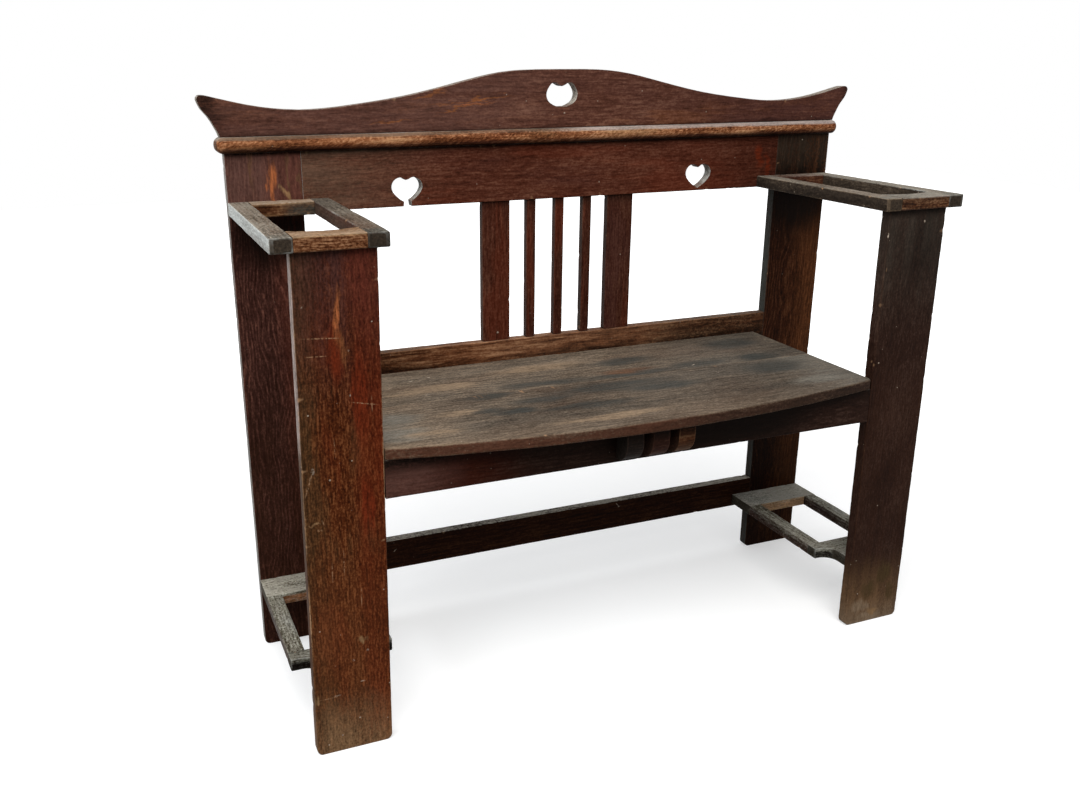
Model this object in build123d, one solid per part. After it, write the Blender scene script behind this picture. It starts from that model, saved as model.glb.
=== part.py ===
from build123d import *
import math
import os

# Oak hall settle with an umbrella ring at each end
# X runs along the settle, +X to the sitter's left. Y runs from front to back.
# The origin lies on the floor, midway between the horn tips and midway
# between the middle of the bowed seat edge and the rear faces of the posts.

# Overall sizes
post_span = 1092
end_depth = 330
seat_bow = 44
seat_height = 460
arm_height = 753
board = 19

# Rear frame
rear_post_width = 113
top_rail_height = 91
back_rail_height = 110
back_rail_above_seat = 36
stretcher_height = 55
stretcher_lift = 98.5

# Slats
slat_thick = 13
wide_slat_width = 49.5
wide_slat_centre = 115.5
narrow_slat_width = 16.5
narrow_slat_spacing = 52
narrow_slat_count = 3
slat_tenon_length = 12
slat_tenon_thick = 7
slat_tenon_inset = 2.5
slat_foot_round = 2.5

# Front posts, which stand a little wider at the floor than at the arms
front_post_width = 112
front_post_setback = 25.5
front_post_splay = 7.5
foot_round = 9

# Cap and crest
cap_thick = 23.4
cap_nose = 12
cap_end_overhang = 11
cap_corner_round = 12.5
cap_nose_round = 10.5
crest_foot_overhang = 3.5
crest_flare = 30.5
crest_rise = 92
crest_tip_round = 6

# Cut-out hearts
heart_width = 51
heart_height = 41
heart_spacing = 268
heart_lift = 4.5
heart_slit = 9.5
crest_heart_width = 55
crest_heart_height = 39
crest_heart_lift = 33.6

# Arm frames, the upper umbrella rings
arm_width = 153
arm_thick = 20
arm_front_overhang = 8
arm_side_width = 30
arm_front_depth = 50
arm_front_hollow = 12
arm_rear_depth = 32
arm_corner_round = 4

# Lower frames, which hold the umbrella tips
lower_width = 154
lower_top = 124
lower_thick = 19
lower_side_width = 25
lower_rear_depth = 62
lower_front_depth = 71
lower_shoulder_depth = 22
lower_inner_shoulder = 8
lower_outer_shoulder = 16
lower_scoop_radius = 24
lower_corner_round = 3

# Seat and what carries it
seat_thick = 17.5
seat_rear_board_depth = 165
seat_side_gap = 0.4
seat_corner_round = 7
seat_edge_round = 4
apron_height = 56.5
side_rail_height = 48
side_rail_inset = 2
cleat_size = 22
glue_block_length = 60
glue_block_spacing = 250
glue_block_count = 3

# Brackets under the bow of the seat
corbel_width = 28
corbel_spacing = 43.5
corbel_reach = 34
corbel_height = 49
corbel_radius = 30

# Joints
tenon_thick = 7
tenon_length = 24
tenon_inset = 9
stub_length = 10
stub_inset = 4
fit_gap = 0.2
glue_room = 1
dowel_radius = 4
dowel_long = 24
dowel_short = 12
dowel_pitch = 50
crest_dowel_bite = 22
crest_dowel_places = (150, 350, 490)

# Screws
screw_head_radius = 4
screw_head_height = 2.6
screw_shank_radius = 2
seat_screw_grip = 11
cleat_screw_grip = 13
corbel_screw_grip = 16

# Worn arrises
ease = 1.5
arm_ease = 2
overrun = 5

# Places that follow from the sizes above
post_half = post_span / 2
rear_inner = post_half - rear_post_width
crest_foot_half = post_half + crest_foot_overhang
crest_half_length = crest_foot_half + crest_flare
back_y = (board + end_depth + seat_bow) / 2
rear_face = back_y - board
rear_mid = back_y - board / 2
front_face = rear_face - end_depth
front_mid = front_face + board / 2
front_back = front_face + board
nose_y = front_face - seat_bow
arm_under = arm_height - arm_thick
cap_under = arm_under + top_rail_height
cap_top = cap_under + cap_thick
seat_under = seat_height - seat_thick
back_rail_top = seat_height + back_rail_above_seat
back_rail_bottom = back_rail_top - back_rail_height
apron_bottom = seat_under - apron_height
arm_front = front_face - arm_front_overhang
arm_outer = post_half
arm_inner = arm_outer - arm_width
lower_outer = post_half
lower_inner = lower_outer - lower_width
lower_bottom = lower_top - lower_thick
front_post_top_outer = arm_outer - front_post_setback


def post_inner(height):
    """X of a front post's inner edge at a height: a straight line that leans outward to the floor."""
    return front_post_top_outer - front_post_width + front_post_splay * (1 - height / arm_under)


seat_half = post_inner(seat_height) - seat_side_gap


# Shapes used again and again

def block(x_span, y_span, z_span):
    """A box between two values on each axis."""
    spans = (x_span, y_span, z_span)
    middle = [(low + high) / 2 for low, high in spans]
    sides = [high - low for low, high in spans]
    return Pos(*middle) * Box(*sides)


def around(middle, width):
    """The span of a given width about a middle value."""
    return (middle - width / 2, middle + width / 2)


def eased(solid, axis, radius=ease):
    """The same solid with its arrises along one axis worn round."""
    return fillet(solid.edges().filter_by(axis), radius)


def upright(outline, y_rear, thick):
    """A board cut to an outline in X and Z, its rear face at y_rear."""
    plane = Plane(origin=(0, y_rear, 0), x_dir=(1, 0, 0), z_dir=(0, -1, 0))
    return extrude(plane * make_face(outline), amount=thick)


def flat(outline, z_low, thick):
    """A board cut to an outline in X and Y, its underside at z_low."""
    return extrude(Pos(0, 0, z_low) * make_face(outline), amount=thick)


def other_side(solid):
    """The mirror image on the settle's other end."""
    return mirror(solid, Plane.YZ)


def rod(middle, axis, radius, length):
    """A round rod along X, Y or Z."""
    turns = {"x": (0, 90, 0), "y": (90, 0, 0), "z": (0, 0, 0)}
    return Pos(*middle) * Rot(*turns[axis]) * Cylinder(radius, length)


def dowel(middle, axis, length):
    return rod(middle, axis, dowel_radius, length)


def dowel_hole(middle, axis, length):
    return rod(middle, axis, dowel_radius + fit_gap, length + 2 * glue_room)


def screw_shape(grip, bite, room=0):
    """A countersunk wood screw, its head's face at Z 0 and its point down. Room widens it to a hole."""
    shank = screw_shank_radius + room
    head = Cone(shank, screw_head_radius + room, screw_head_height)
    stem_length = grip + bite - screw_head_height + room
    stem = Cylinder(shank, stem_length)
    stem_middle = -screw_head_height - stem_length / 2
    return Pos(0, 0, -screw_head_height / 2) * head + Pos(0, 0, stem_middle) * stem


def group(solids):
    """Separate solids that share one node."""
    return Compound(children=list(solids))


# Tenons and mortises

def rail_tenons(half_length, y_middle, z_low, z_high):
    """The two tenons of a rail as one long tongue that runs through it."""
    reach = half_length + tenon_length
    z_span = (z_low + tenon_inset, z_high - tenon_inset)
    return block((-reach, reach), around(y_middle, tenon_thick), z_span)


def rail_mortise(shoulder, y_middle, z_low, z_high):
    """The mortise for one rail tenon, open at the post's inner edge."""
    x_span = (shoulder - overrun, shoulder + tenon_length + glue_room)
    z_span = (z_low + tenon_inset - fit_gap, z_high - tenon_inset + fit_gap)
    return block(x_span, around(y_middle, tenon_thick + 2 * fit_gap), z_span)


def slat_places():
    """Centre and width of each slat, from one side to the other."""
    first = -narrow_slat_spacing * (narrow_slat_count - 1) / 2
    narrow = [(first + i * narrow_slat_spacing, narrow_slat_width) for i in range(narrow_slat_count)]
    return [(-wide_slat_centre, wide_slat_width)] + narrow + [(wide_slat_centre, wide_slat_width)]


def slat_tongue(centre, width, z_low, z_high, room=0):
    """The tenon of a slat, or with room its mortise."""
    x_span = around(centre, width - 2 * slat_tenon_inset + 2 * room)
    return block(x_span, around(rear_mid, slat_tenon_thick + 2 * room), (z_low, z_high))


# Posts

def rear_post():
    post = block((rear_inner, post_half), (rear_face, back_y), (0, cap_under))
    post = fillet(post.edges().filter_by(Axis.Y).group_by(Axis.Z)[0], foot_round)
    post = eased(post, Axis.Z)
    for z_low, z_high in ((arm_under, cap_under), (back_rail_bottom, back_rail_top),
                          (stretcher_lift, stretcher_lift + stretcher_height)):
        post -= rail_mortise(rear_inner, rear_mid, z_low, z_high)
    for hole in (arm_rear_holes() + lower_rear_holes() + crest_holes()):
        post -= hole
    return post


def front_post():
    low, high = post_inner(0), post_inner(arm_under)
    outline = Polyline((low, 0), (low + front_post_width, 0), (high + front_post_width, arm_under),
                       (high, arm_under), close=True)
    post = upright(outline, front_back, board)
    post = fillet(post.edges().filter_by(Axis.Y).group_by(Axis.Z)[0], foot_round)
    level = post.edges().filter_by(Axis.X) + post.edges().filter_by(Axis.Y)
    leaning = [edge for edge in post.edges().filter_by(GeomType.LINE) if edge not in level]
    post = fillet(leaning, ease)
    post -= rail_mortise(post_inner(seat_under), front_mid, apron_bottom, seat_under)
    for hole in (arm_front_holes() + lower_front_holes()):
        post -= hole
    return post


# Rails of the back

def heart(width, height, bottom_round=False):
    """One heart with its lowest point at the origin: two curves from the dip over a lobe to the point."""
    pointed_shares = ((0, 0.87), (0.22, 1), (0.43, 0.86), (0.49, 0.66), (0.4, 0.38), (0.2, 0.15), (0, 0))
    round_shares = ((0, 0.82), (0.17, 0.93), (0.27, 0.97), (0.4, 0.83), (0.5, 0.5), (0.4, 0.18),
                    (0.2, 0.03), (0, 0))
    shares = round_shares if bottom_round else pointed_shares
    slopes = [(1, 0.2), (-1, 0)] if bottom_round else [(1, 0.75), (-1, -0.65)]
    right = Spline(*[(x * width, z * height) for x, z in shares], tangents=slopes)
    left = mirror(right, Plane.YZ)
    return [right, left]


def heart_cut(centre, z_low, width, height, bottom_round=False):
    plane = Plane(origin=(centre, back_y + overrun, z_low), x_dir=(1, 0, 0), z_dir=(0, -1, 0))
    face = make_face(heart(width, height, bottom_round))
    return extrude(plane * face, amount=board + 2 * overrun)


def top_rail():
    rail = eased(block((-rear_inner, rear_inner), (rear_face, back_y), (arm_under, cap_under)), Axis.X)
    rail += rail_tenons(rear_inner, rear_mid, arm_under, cap_under)
    heart_low = arm_under + heart_lift
    for centre in (-heart_spacing, heart_spacing):
        rail -= heart_cut(centre, heart_low, heart_width, heart_height)
    slit_top = heart_low + heart_lift
    rail -= block(around(-heart_spacing, heart_slit), (rear_face - overrun, back_y + overrun),
                  (arm_under - overrun, slit_top))
    mortise_top = arm_under + slat_tenon_length + glue_room
    for centre, width in slat_places():
        rail -= slat_tongue(centre, width, arm_under - overrun, mortise_top, fit_gap)
    for hole in (arm_rear_holes() + crest_holes()):
        rail -= hole
        rail -= other_side(hole)
    return rail


def seat_back_rail():
    z_span = (back_rail_bottom, back_rail_top)
    rail = eased(block((-rear_inner, rear_inner), (rear_face, back_y), z_span), Axis.X)
    rail += rail_tenons(rear_inner, rear_mid, back_rail_bottom, back_rail_top)
    mortise_low = back_rail_top - slat_tenon_length - glue_room
    for centre, width in slat_places():
        rail -= slat_tongue(centre, width, mortise_low, back_rail_top + overrun, fit_gap)
    for side in (-1, 1):
        rail -= side_rail_stub(side, rear_face - overrun, rear_face + stub_length + glue_room, fit_gap)
    for hole in cleat_screws(fit_gap):
        rail -= hole
    return rail


def back_stretcher():
    top = stretcher_lift + stretcher_height
    stretcher = eased(block((-rear_inner, rear_inner), (rear_face, back_y), (stretcher_lift, top)), Axis.X)
    return stretcher + rail_tenons(rear_inner, rear_mid, stretcher_lift, top)


def slat(centre, width):
    body = block(around(centre, width), around(rear_mid, slat_thick), (back_rail_top, arm_under))
    body = fillet(body.edges().filter_by(Axis.Y).group_by(Axis.Z)[0], slat_foot_round)
    body = eased(body, Axis.Z)
    low, high = back_rail_top - slat_tenon_length, arm_under + slat_tenon_length
    return body + slat_tongue(centre, width, low, high)


# Cap and crest

def crest_holes():
    length = cap_thick + 2 * crest_dowel_bite
    return [dowel_hole((x, rear_mid, cap_under + cap_thick / 2), "z", length) for x in crest_dowel_places]


def crest_dowels():
    length = cap_thick + 2 * crest_dowel_bite
    places = [side * x for x in crest_dowel_places for side in (-1, 1)]
    return group(dowel((x, rear_mid, cap_under + cap_thick / 2), "z", length) for x in places)


def cap_moulding():
    half = post_half + cap_end_overhang
    cap = block((-half, half), (rear_face - cap_nose, back_y), (cap_under, cap_top))
    cap = fillet(cap.edges().filter_by(Axis.Z).group_by(Axis.Y)[0], cap_corner_round)
    middle = (cap_under + cap_top) / 2
    rims = [edge for edge in cap.edges() if abs(edge.center().Z - middle) > cap_thick / 4]
    rims = [edge for edge in rims if edge.center().Y < back_y - ease]
    cap = fillet(rims, cap_nose_round)
    for hole in crest_holes():
        cap -= hole
        cap -= other_side(hole)
    return cap


def crest_outline():
    """A flat arch falls to a hollow each side, then sweeps up to a horn that curves back to the foot."""
    top_shares = ((0.18, 0.955), (0.311, 0.785), (0.45, 0.594), (0.6, 0.458), (0.735, 0.398),
                  (0.85, 0.464), (0.925, 0.566), (0.97, 0.636))
    tip_share = 0.64
    tip = (crest_half_length, cap_top + tip_share * crest_rise)
    end_shares = ((0.78, 0.45), (0.43, 0.3), (0.19, 0.15))
    flare = crest_half_length - crest_foot_half
    points = [(0, cap_top + crest_rise)]
    points += [(x * crest_half_length, cap_top + z * crest_rise) for x, z in top_shares] + [tip]
    top = Spline(*points, tangents=[(1, 0), (1, -0.12)])
    ends = [tip] + [(crest_foot_half + x * flare, cap_top + z * crest_rise) for x, z in end_shares]
    ends += [(crest_foot_half, cap_top)]
    end = Spline(*ends, tangents=[(-0.45, -1), (-0.25, -1)])
    foot = Line((crest_foot_half, cap_top), (-crest_foot_half, cap_top))
    return [top, end, foot, mirror(end, Plane.YZ), mirror(top, Plane.YZ)]


def crest_board():
    crest = upright(crest_outline(), back_y, board)
    corners = crest.edges().filter_by(Axis.Y).sort_by(Axis.X)
    crest = fillet([corners[0], corners[-1]], crest_tip_round)
    crest -= heart_cut(0, cap_top + crest_heart_lift, crest_heart_width, crest_heart_height, True)
    for hole in crest_holes():
        crest -= hole
        crest -= other_side(hole)
    return crest


# Seat

def seat_rear_board():
    y_span = (rear_face - seat_rear_board_depth, rear_face)
    seat = block((-seat_half, seat_half), y_span, (seat_under, seat_height))
    for hole in seat_screws(fit_gap):
        seat -= hole
    return seat


def seat_front_board():
    rear = rear_face - seat_rear_board_depth
    left, right = (-seat_half, front_face), (seat_half, front_face)
    outline = [Line((-seat_half, rear), (seat_half, rear)), Line((seat_half, rear), right),
               ThreePointArc(right, (0, nose_y), left), Line(left, (-seat_half, rear))]
    seat = flat(outline, seat_under, seat_thick)
    seat = fillet(seat.edges().filter_by(Axis.Z).group_by(Axis.Y)[0], seat_corner_round)
    bow = [edge for edge in seat.edges() if edge.center().Y < front_face]
    rims = [edge for edge in bow if abs(edge.tangent_at(0.5).Z) < 0.5]
    seat = fillet(rims, seat_edge_round)
    for hole in seat_screws(fit_gap):
        seat -= hole
    return seat


def side_rail_x(side):
    outer = seat_half - side_rail_inset
    middle = outer - board / 2
    return around(side * middle, board)


def side_rail_stub(side, y_low, y_high, room=0):
    """The stub tenon at one end of a seat side rail, or with room its mortise."""
    low, high = side_rail_x(side)
    z_span = (seat_under - side_rail_height + tenon_inset - room, seat_under - tenon_inset + room)
    return block(around((low + high) / 2, tenon_thick + 2 * room), (y_low, y_high), z_span)


def seat_side_rail(side):
    z_span = (seat_under - side_rail_height, seat_under)
    rail = eased(block(side_rail_x(side), (front_back, rear_face), z_span), Axis.Y)
    return rail + side_rail_stub(side, front_back - stub_length, rear_face + stub_length)


def front_apron():
    low, high = post_inner(apron_bottom), post_inner(seat_under)
    outline = Polyline((-low, apron_bottom), (low, apron_bottom), (high, seat_under),
                       (-high, seat_under), close=True)
    apron = eased(upright(outline, front_back, board), Axis.X)
    apron += rail_tenons(post_inner(seat_under), front_mid, apron_bottom, seat_under)
    for side in (-1, 1):
        apron -= side_rail_stub(side, front_back - stub_length - glue_room, front_back + overrun, fit_gap)
    for hole in corbel_screws(fit_gap):
        apron -= hole
    return apron


def cleat_half():
    low, high = side_rail_x(1)
    return low


def block_places():
    first = -glue_block_spacing * (glue_block_count - 1) / 2
    return [first + i * glue_block_spacing for i in range(glue_block_count)]


def seat_cleat():
    cleat = block((-cleat_half(), cleat_half()), (rear_face - cleat_size, rear_face),
                  (seat_under - cleat_size, seat_under))
    for hole in seat_screws(fit_gap) + cleat_screws(fit_gap):
        cleat -= hole
    return cleat


def seat_glue_blocks():
    blocks = []
    for x in block_places():
        piece = block(around(x, glue_block_length), (front_back, front_back + cleat_size),
                      (seat_under - cleat_size, seat_under))
        for hole in seat_screws(fit_gap):
            piece -= hole
        blocks.append(piece)
    return group(blocks)


def seat_screws(room=0):
    """Screws up through the cleat and the glue blocks into the seat boards."""
    turn = Rot(180, 0, 0)
    rows = (rear_face - cleat_size / 2, front_back + cleat_size / 2)
    places = [(x, y) for x in block_places() for y in rows]
    return [Pos(x, y, seat_under - cleat_size) * turn * screw_shape(cleat_size, seat_screw_grip, room)
            for x, y in places]


def cleat_screws(room=0):
    """Screws back through the cleat into the rail, between the seat screws."""
    turn = Rot(90, 0, 0)
    places = [x + glue_block_length for x in block_places()]
    return [Pos(x, rear_face - cleat_size, seat_under - cleat_size / 2) * turn
            * screw_shape(cleat_size, cleat_screw_grip, room) for x in places]


def corbel_places():
    return [-corbel_spacing, 0, corbel_spacing]


def corbel(x):
    """A bracket with a quarter round at its lower front corner, drawn in Y and Z."""
    front = front_face - corbel_reach
    bottom = seat_under - corbel_height
    bend = corbel_radius * (1 - math.sqrt(0.5))
    outline = [Line((front_face, bottom), (front_face, seat_under)),
               Line((front_face, seat_under), (front, seat_under)),
               Line((front, seat_under), (front, bottom + corbel_radius)),
               ThreePointArc((front, bottom + corbel_radius), (front + bend, bottom + bend),
                             (front + corbel_radius, bottom)),
               Line((front + corbel_radius, bottom), (front_face, bottom))]
    plane = Plane(origin=(x - corbel_width / 2, 0, 0), x_dir=(0, 1, 0), z_dir=(1, 0, 0))
    piece = extrude(plane * make_face(outline), amount=corbel_width)
    for hole in corbel_screws(fit_gap):
        piece -= hole
    return piece


def corbel_screws(room=0):
    """Screws forward through the apron into the brackets."""
    turn = Rot(-90, 0, 0)
    height = seat_under - corbel_height / 2
    return [Pos(x, front_back, height) * turn * screw_shape(board, corbel_screw_grip, room)
            for x in corbel_places()]


# Arm frames

def arm_side_span(outer_side):
    if outer_side:
        return (arm_outer - arm_side_width, arm_outer)
    return (arm_inner, arm_inner + arm_side_width)


def arm_stubs(y_low, y_high, room=0):
    """The stub tenons of an arm cross rail as one tongue, or with room their mortises."""
    reach = stub_length + room * glue_room / fit_gap
    x_span = (arm_inner + arm_side_width - reach, arm_outer - arm_side_width + reach)
    return block(x_span, (y_low + stub_inset - room, y_high - stub_inset + room),
                 around(arm_height - arm_thick / 2, tenon_thick + 2 * room))


def arm_side_rail(outer_side):
    rail = block(arm_side_span(outer_side), (arm_front, rear_face), (arm_under, arm_height))
    corner_x = 1 if outer_side else 0
    corner = rail.edges().filter_by(Axis.Z).group_by(Axis.Y)[0].sort_by(Axis.X)[corner_x]
    rail = fillet(corner, arm_corner_round)
    rail = eased(rail, Axis.Y, arm_ease)
    rail -= arm_stubs(arm_front, arm_front + arm_front_depth - arm_front_hollow, fit_gap)
    rail -= arm_stubs(rear_face - arm_rear_depth, rear_face, fit_gap)
    for hole in arm_rear_holes():
        rail -= hole
    return rail


def arm_front_rail():
    left, right = arm_inner + arm_side_width, arm_outer - arm_side_width
    rear = arm_front + arm_front_depth
    outline = [Line((left, arm_front), (right, arm_front)), Line((right, arm_front), (right, rear)),
               ThreePointArc((right, rear), ((left + right) / 2, rear - arm_front_hollow), (left, rear)),
               Line((left, rear), (left, arm_front))]
    rail = flat(outline, arm_under, arm_thick)
    rail = fillet(rail.edges().filter_by(Axis.X), arm_ease)
    rail += arm_stubs(arm_front, arm_front + arm_front_depth - arm_front_hollow)
    for hole in arm_front_holes():
        rail -= hole
    return rail


def arm_rear_rail():
    left, right = arm_inner + arm_side_width, arm_outer - arm_side_width
    rail = block((left, right), (rear_face - arm_rear_depth, rear_face), (arm_under, arm_height))
    rail = fillet(rail.edges().filter_by(Axis.X).group_by(Axis.Y)[0], arm_ease)
    return rail + arm_stubs(rear_face - arm_rear_depth, rear_face)


def arm_rear_pegs(shape):
    """Two dowels along Y from the arm's side rails into the rear post and the top rail."""
    middle = rear_face + (dowel_short - dowel_long) / 2
    xs = [sum(arm_side_span(outer_side)) / 2 for outer_side in (True, False)]
    return [shape((x, middle, arm_height - arm_thick / 2), "y", dowel_long + dowel_short) for x in xs]


def arm_rear_holes():
    return arm_rear_pegs(dowel_hole)


def arm_front_pegs(shape):
    """Two dowels along Z from the top of the front post into the arm's front rail."""
    middle = arm_under + (dowel_short - dowel_long) / 2
    post_middle = post_inner(arm_under) + front_post_width / 2
    return [shape((x, front_mid, middle), "z", dowel_long + dowel_short)
            for x in around(post_middle, dowel_pitch)]


def arm_front_holes():
    return arm_front_pegs(dowel_hole)


# Lower frames

def lower_stubs(x_span, y_low, y_high, room=0):
    """The stub tenons of a lower side rail as one tongue, or with room their mortises."""
    low, high = x_span
    reach = stub_length + room * glue_room / fit_gap
    y_span = (y_low - reach, y_high + reach)
    return block((low + stub_inset - room, high - stub_inset + room), y_span,
                 around(lower_top - lower_thick / 2, tenon_thick + 2 * room))


def lower_side_span(outer_side):
    if outer_side:
        return (lower_outer - lower_side_width, lower_outer)
    return (lower_inner, lower_inner + lower_side_width)


def lower_side_y():
    return (front_back + lower_front_depth, rear_face - lower_rear_depth)


def lower_side_rail(outer_side):
    y_low, y_high = lower_side_y()
    rail = eased(block(lower_side_span(outer_side), (y_low, y_high), (lower_bottom, lower_top)), Axis.Y)
    return rail + lower_stubs(lower_side_span(outer_side), y_low, y_high)


def lower_rear_rail():
    y_low, y_high = lower_side_y()
    rail = block((lower_inner, lower_outer), (y_high, rear_face), (lower_bottom, lower_top))
    rail = fillet(rail.edges().filter_by(Axis.X).group_by(Axis.Y)[0], ease)
    for outer_side in (True, False):
        rail -= lower_stubs(lower_side_span(outer_side), y_low, y_high, fit_gap)
    for hole in lower_rear_holes():
        rail -= hole
    return rail


def lower_front_rail():
    """A shaped board: full width behind, with a quarter circle scooped out at each side of its tongue."""
    y_low, y_high = lower_side_y()
    shoulder = y_low - lower_shoulder_depth
    left, right = lower_inner + lower_inner_shoulder, lower_outer - lower_outer_shoulder
    reach = lower_scoop_radius
    bend = reach * (1 - math.sqrt(0.5))
    right_scoop = ThreePointArc((right, shoulder), (right - reach + bend, shoulder - bend),
                                (right - reach, shoulder - reach))
    left_scoop = ThreePointArc((left + reach, shoulder - reach), (left + reach - bend, shoulder - bend),
                               (left, shoulder))
    outline = [Line((lower_inner, y_low), (lower_outer, y_low)),
               Line((lower_outer, y_low), (lower_outer, shoulder)),
               Line((lower_outer, shoulder), (right, shoulder)), right_scoop,
               Line((right - reach, shoulder - reach), (right - reach, front_back)),
               Line((right - reach, front_back), (left + reach, front_back)),
               Line((left + reach, front_back), (left + reach, shoulder - reach)), left_scoop,
               Line((left, shoulder), (lower_inner, shoulder)),
               Line((lower_inner, shoulder), (lower_inner, y_low))]
    rail = flat(outline, lower_bottom, lower_thick)
    corners = [edge for edge in rail.edges().filter_by(Axis.Z) if abs(edge.center().Y - shoulder) < ease
               and (edge.center().X < left - ease or edge.center().X > right + ease)]
    rail = fillet(corners, lower_corner_round)
    for outer_side in (True, False):
        rail -= lower_stubs(lower_side_span(outer_side), y_low, y_high, fit_gap)
    for hole in lower_front_holes():
        rail -= hole
    return rail


def lower_rear_pegs(shape):
    """Two dowels along Y from the lower rear rail into the rear post."""
    middle = rear_face + (dowel_short - dowel_long) / 2
    post_middle = post_half - rear_post_width / 2
    return [shape((x + tenon_inset, middle, lower_top - lower_thick / 2), "y", dowel_long + dowel_short)
            for x in around(post_middle, dowel_pitch)]


def lower_rear_holes():
    return lower_rear_pegs(dowel_hole)


def lower_front_pegs(shape):
    """Two dowels along Y from the tongue of the lower front rail into the front post."""
    middle = front_back + (dowel_long - dowel_short) / 2
    tongue_middle = (lower_inner + lower_outer) / 2
    return [shape((x, middle, lower_top - lower_thick / 2), "y", dowel_long + dowel_short)
            for x in around(tongue_middle, dowel_pitch)]


def lower_front_holes():
    return lower_front_pegs(dowel_hole)


# All pieces by name

def both_sides(solids):
    return group([solid for solid in solids] + [other_side(solid) for solid in solids])


def all_pieces():
    pieces = {"crest_board": crest_board(), "cap_moulding": cap_moulding(), "top_rail": top_rail(),
              "seat_back_rail": seat_back_rail(), "back_stretcher": back_stretcher(),
              "front_apron": front_apron(), "seat_rear_board": seat_rear_board(),
              "seat_front_board": seat_front_board(), "seat_cleat": seat_cleat(),
              "seat_glue_blocks": seat_glue_blocks(), "crest_dowels": crest_dowels(),
              "seat_screws": group(seat_screws()), "cleat_screws": group(cleat_screws()),
              "corbel_screws": group(corbel_screws()),
              "arm_dowels": both_sides(arm_rear_pegs(dowel) + arm_front_pegs(dowel)),
              "lower_frame_dowels": both_sides(lower_rear_pegs(dowel) + lower_front_pegs(dowel))}
    slat_names = ("1_wide", "2_narrow", "3_narrow", "4_narrow", "5_wide")
    for place, (centre, width) in zip(slat_names, slat_places()):
        pieces["back_slat_" + place] = slat(centre, width)
    for place, x in zip(("left", "middle", "right"), corbel_places()):
        pieces["seat_corbel_" + place] = corbel(x)
    pieces["seat_side_rail_left"] = seat_side_rail(-1)
    pieces["seat_side_rail_right"] = seat_side_rail(1)
    right_end = {"rear_post": rear_post(), "front_post": front_post(),
                 "arm_outer_rail": arm_side_rail(True), "arm_inner_rail": arm_side_rail(False),
                 "arm_front_rail": arm_front_rail(), "arm_rear_rail": arm_rear_rail(),
                 "lower_outer_rail": lower_side_rail(True), "lower_inner_rail": lower_side_rail(False),
                 "lower_front_rail": lower_front_rail(), "lower_rear_rail": lower_rear_rail()}
    for name, solid in right_end.items():
        pieces[name + "_right"] = solid
        pieces[name + "_left"] = other_side(solid)
    return pieces


os.makedirs("parts", exist_ok=True)
for name, solid in all_pieces().items():
    export_step(solid, "parts/" + name + ".step")
    box = solid.bounding_box()
    print(f"{name:24s} {box.size.X:8.1f} {box.size.Y:8.1f} {box.size.Z:8.1f}  {len(solid.solids())} solid")
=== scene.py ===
# %% [markdown]
# A dark stained oak hall settle, dressed for its picture.
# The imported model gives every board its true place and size. This file makes the
# boards again as worn timber, with rubbed arrises, nicks and dents, each with its own
# oak: grain, pores, stain, wear and dust.

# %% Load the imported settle
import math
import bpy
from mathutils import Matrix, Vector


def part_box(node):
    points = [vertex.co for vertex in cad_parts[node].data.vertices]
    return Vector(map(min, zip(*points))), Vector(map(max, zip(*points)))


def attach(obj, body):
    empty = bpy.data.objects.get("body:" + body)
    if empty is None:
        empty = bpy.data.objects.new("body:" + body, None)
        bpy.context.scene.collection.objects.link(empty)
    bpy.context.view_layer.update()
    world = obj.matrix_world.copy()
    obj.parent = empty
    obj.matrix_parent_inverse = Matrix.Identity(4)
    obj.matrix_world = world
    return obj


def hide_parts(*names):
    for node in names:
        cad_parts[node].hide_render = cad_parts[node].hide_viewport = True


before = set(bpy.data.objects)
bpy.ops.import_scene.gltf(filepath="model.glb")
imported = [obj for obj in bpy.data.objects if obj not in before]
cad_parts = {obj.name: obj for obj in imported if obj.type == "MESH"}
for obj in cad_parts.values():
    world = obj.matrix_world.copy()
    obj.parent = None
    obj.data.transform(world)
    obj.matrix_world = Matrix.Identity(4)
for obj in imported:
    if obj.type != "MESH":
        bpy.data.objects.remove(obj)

# %% Tools of the trade
from types import SimpleNamespace

import bmesh
import bpy
import numpy as np
from mathutils import Euler, Vector

X, Y, Z = 0, 1, 2
MM = 0.001
HAIR = 0.01 * MM  # counts as the same place
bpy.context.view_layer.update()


def placed(name, data):
    """A new object in the scene, at the origin."""
    made = bpy.data.objects.new(name, data)
    bpy.context.scene.collection.objects.link(made)
    return made


# %% [markdown]
# Every board is cut to its outline in the model. A slice across the board at each
# station finds its two edge lines, so bowed, leaning and sawn edges need no numbers
# of their own. All slices are taken at once, as arrays.

# %% Read a board's outline from the model
END_ZONE = 14 * MM  # here stations lie closer
STEP = 4.5 * MM
BESIDE_A_TURN = np.array([0.02, 0.4, 1.2, 2.6]) * MM


def mesh_arrays(node):
    """A node's corner points (n x 3), and its mesh edges as pairs of point numbers."""
    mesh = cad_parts[node].data
    points = np.empty(len(mesh.vertices) * 3)
    mesh.vertices.foreach_get("co", points)
    pairs = np.empty(len(mesh.edges) * 2, dtype=int)
    mesh.edges.foreach_get("vertices", pairs)
    return points.reshape(-1, 3), pairs.reshape(-1, 2)


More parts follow.
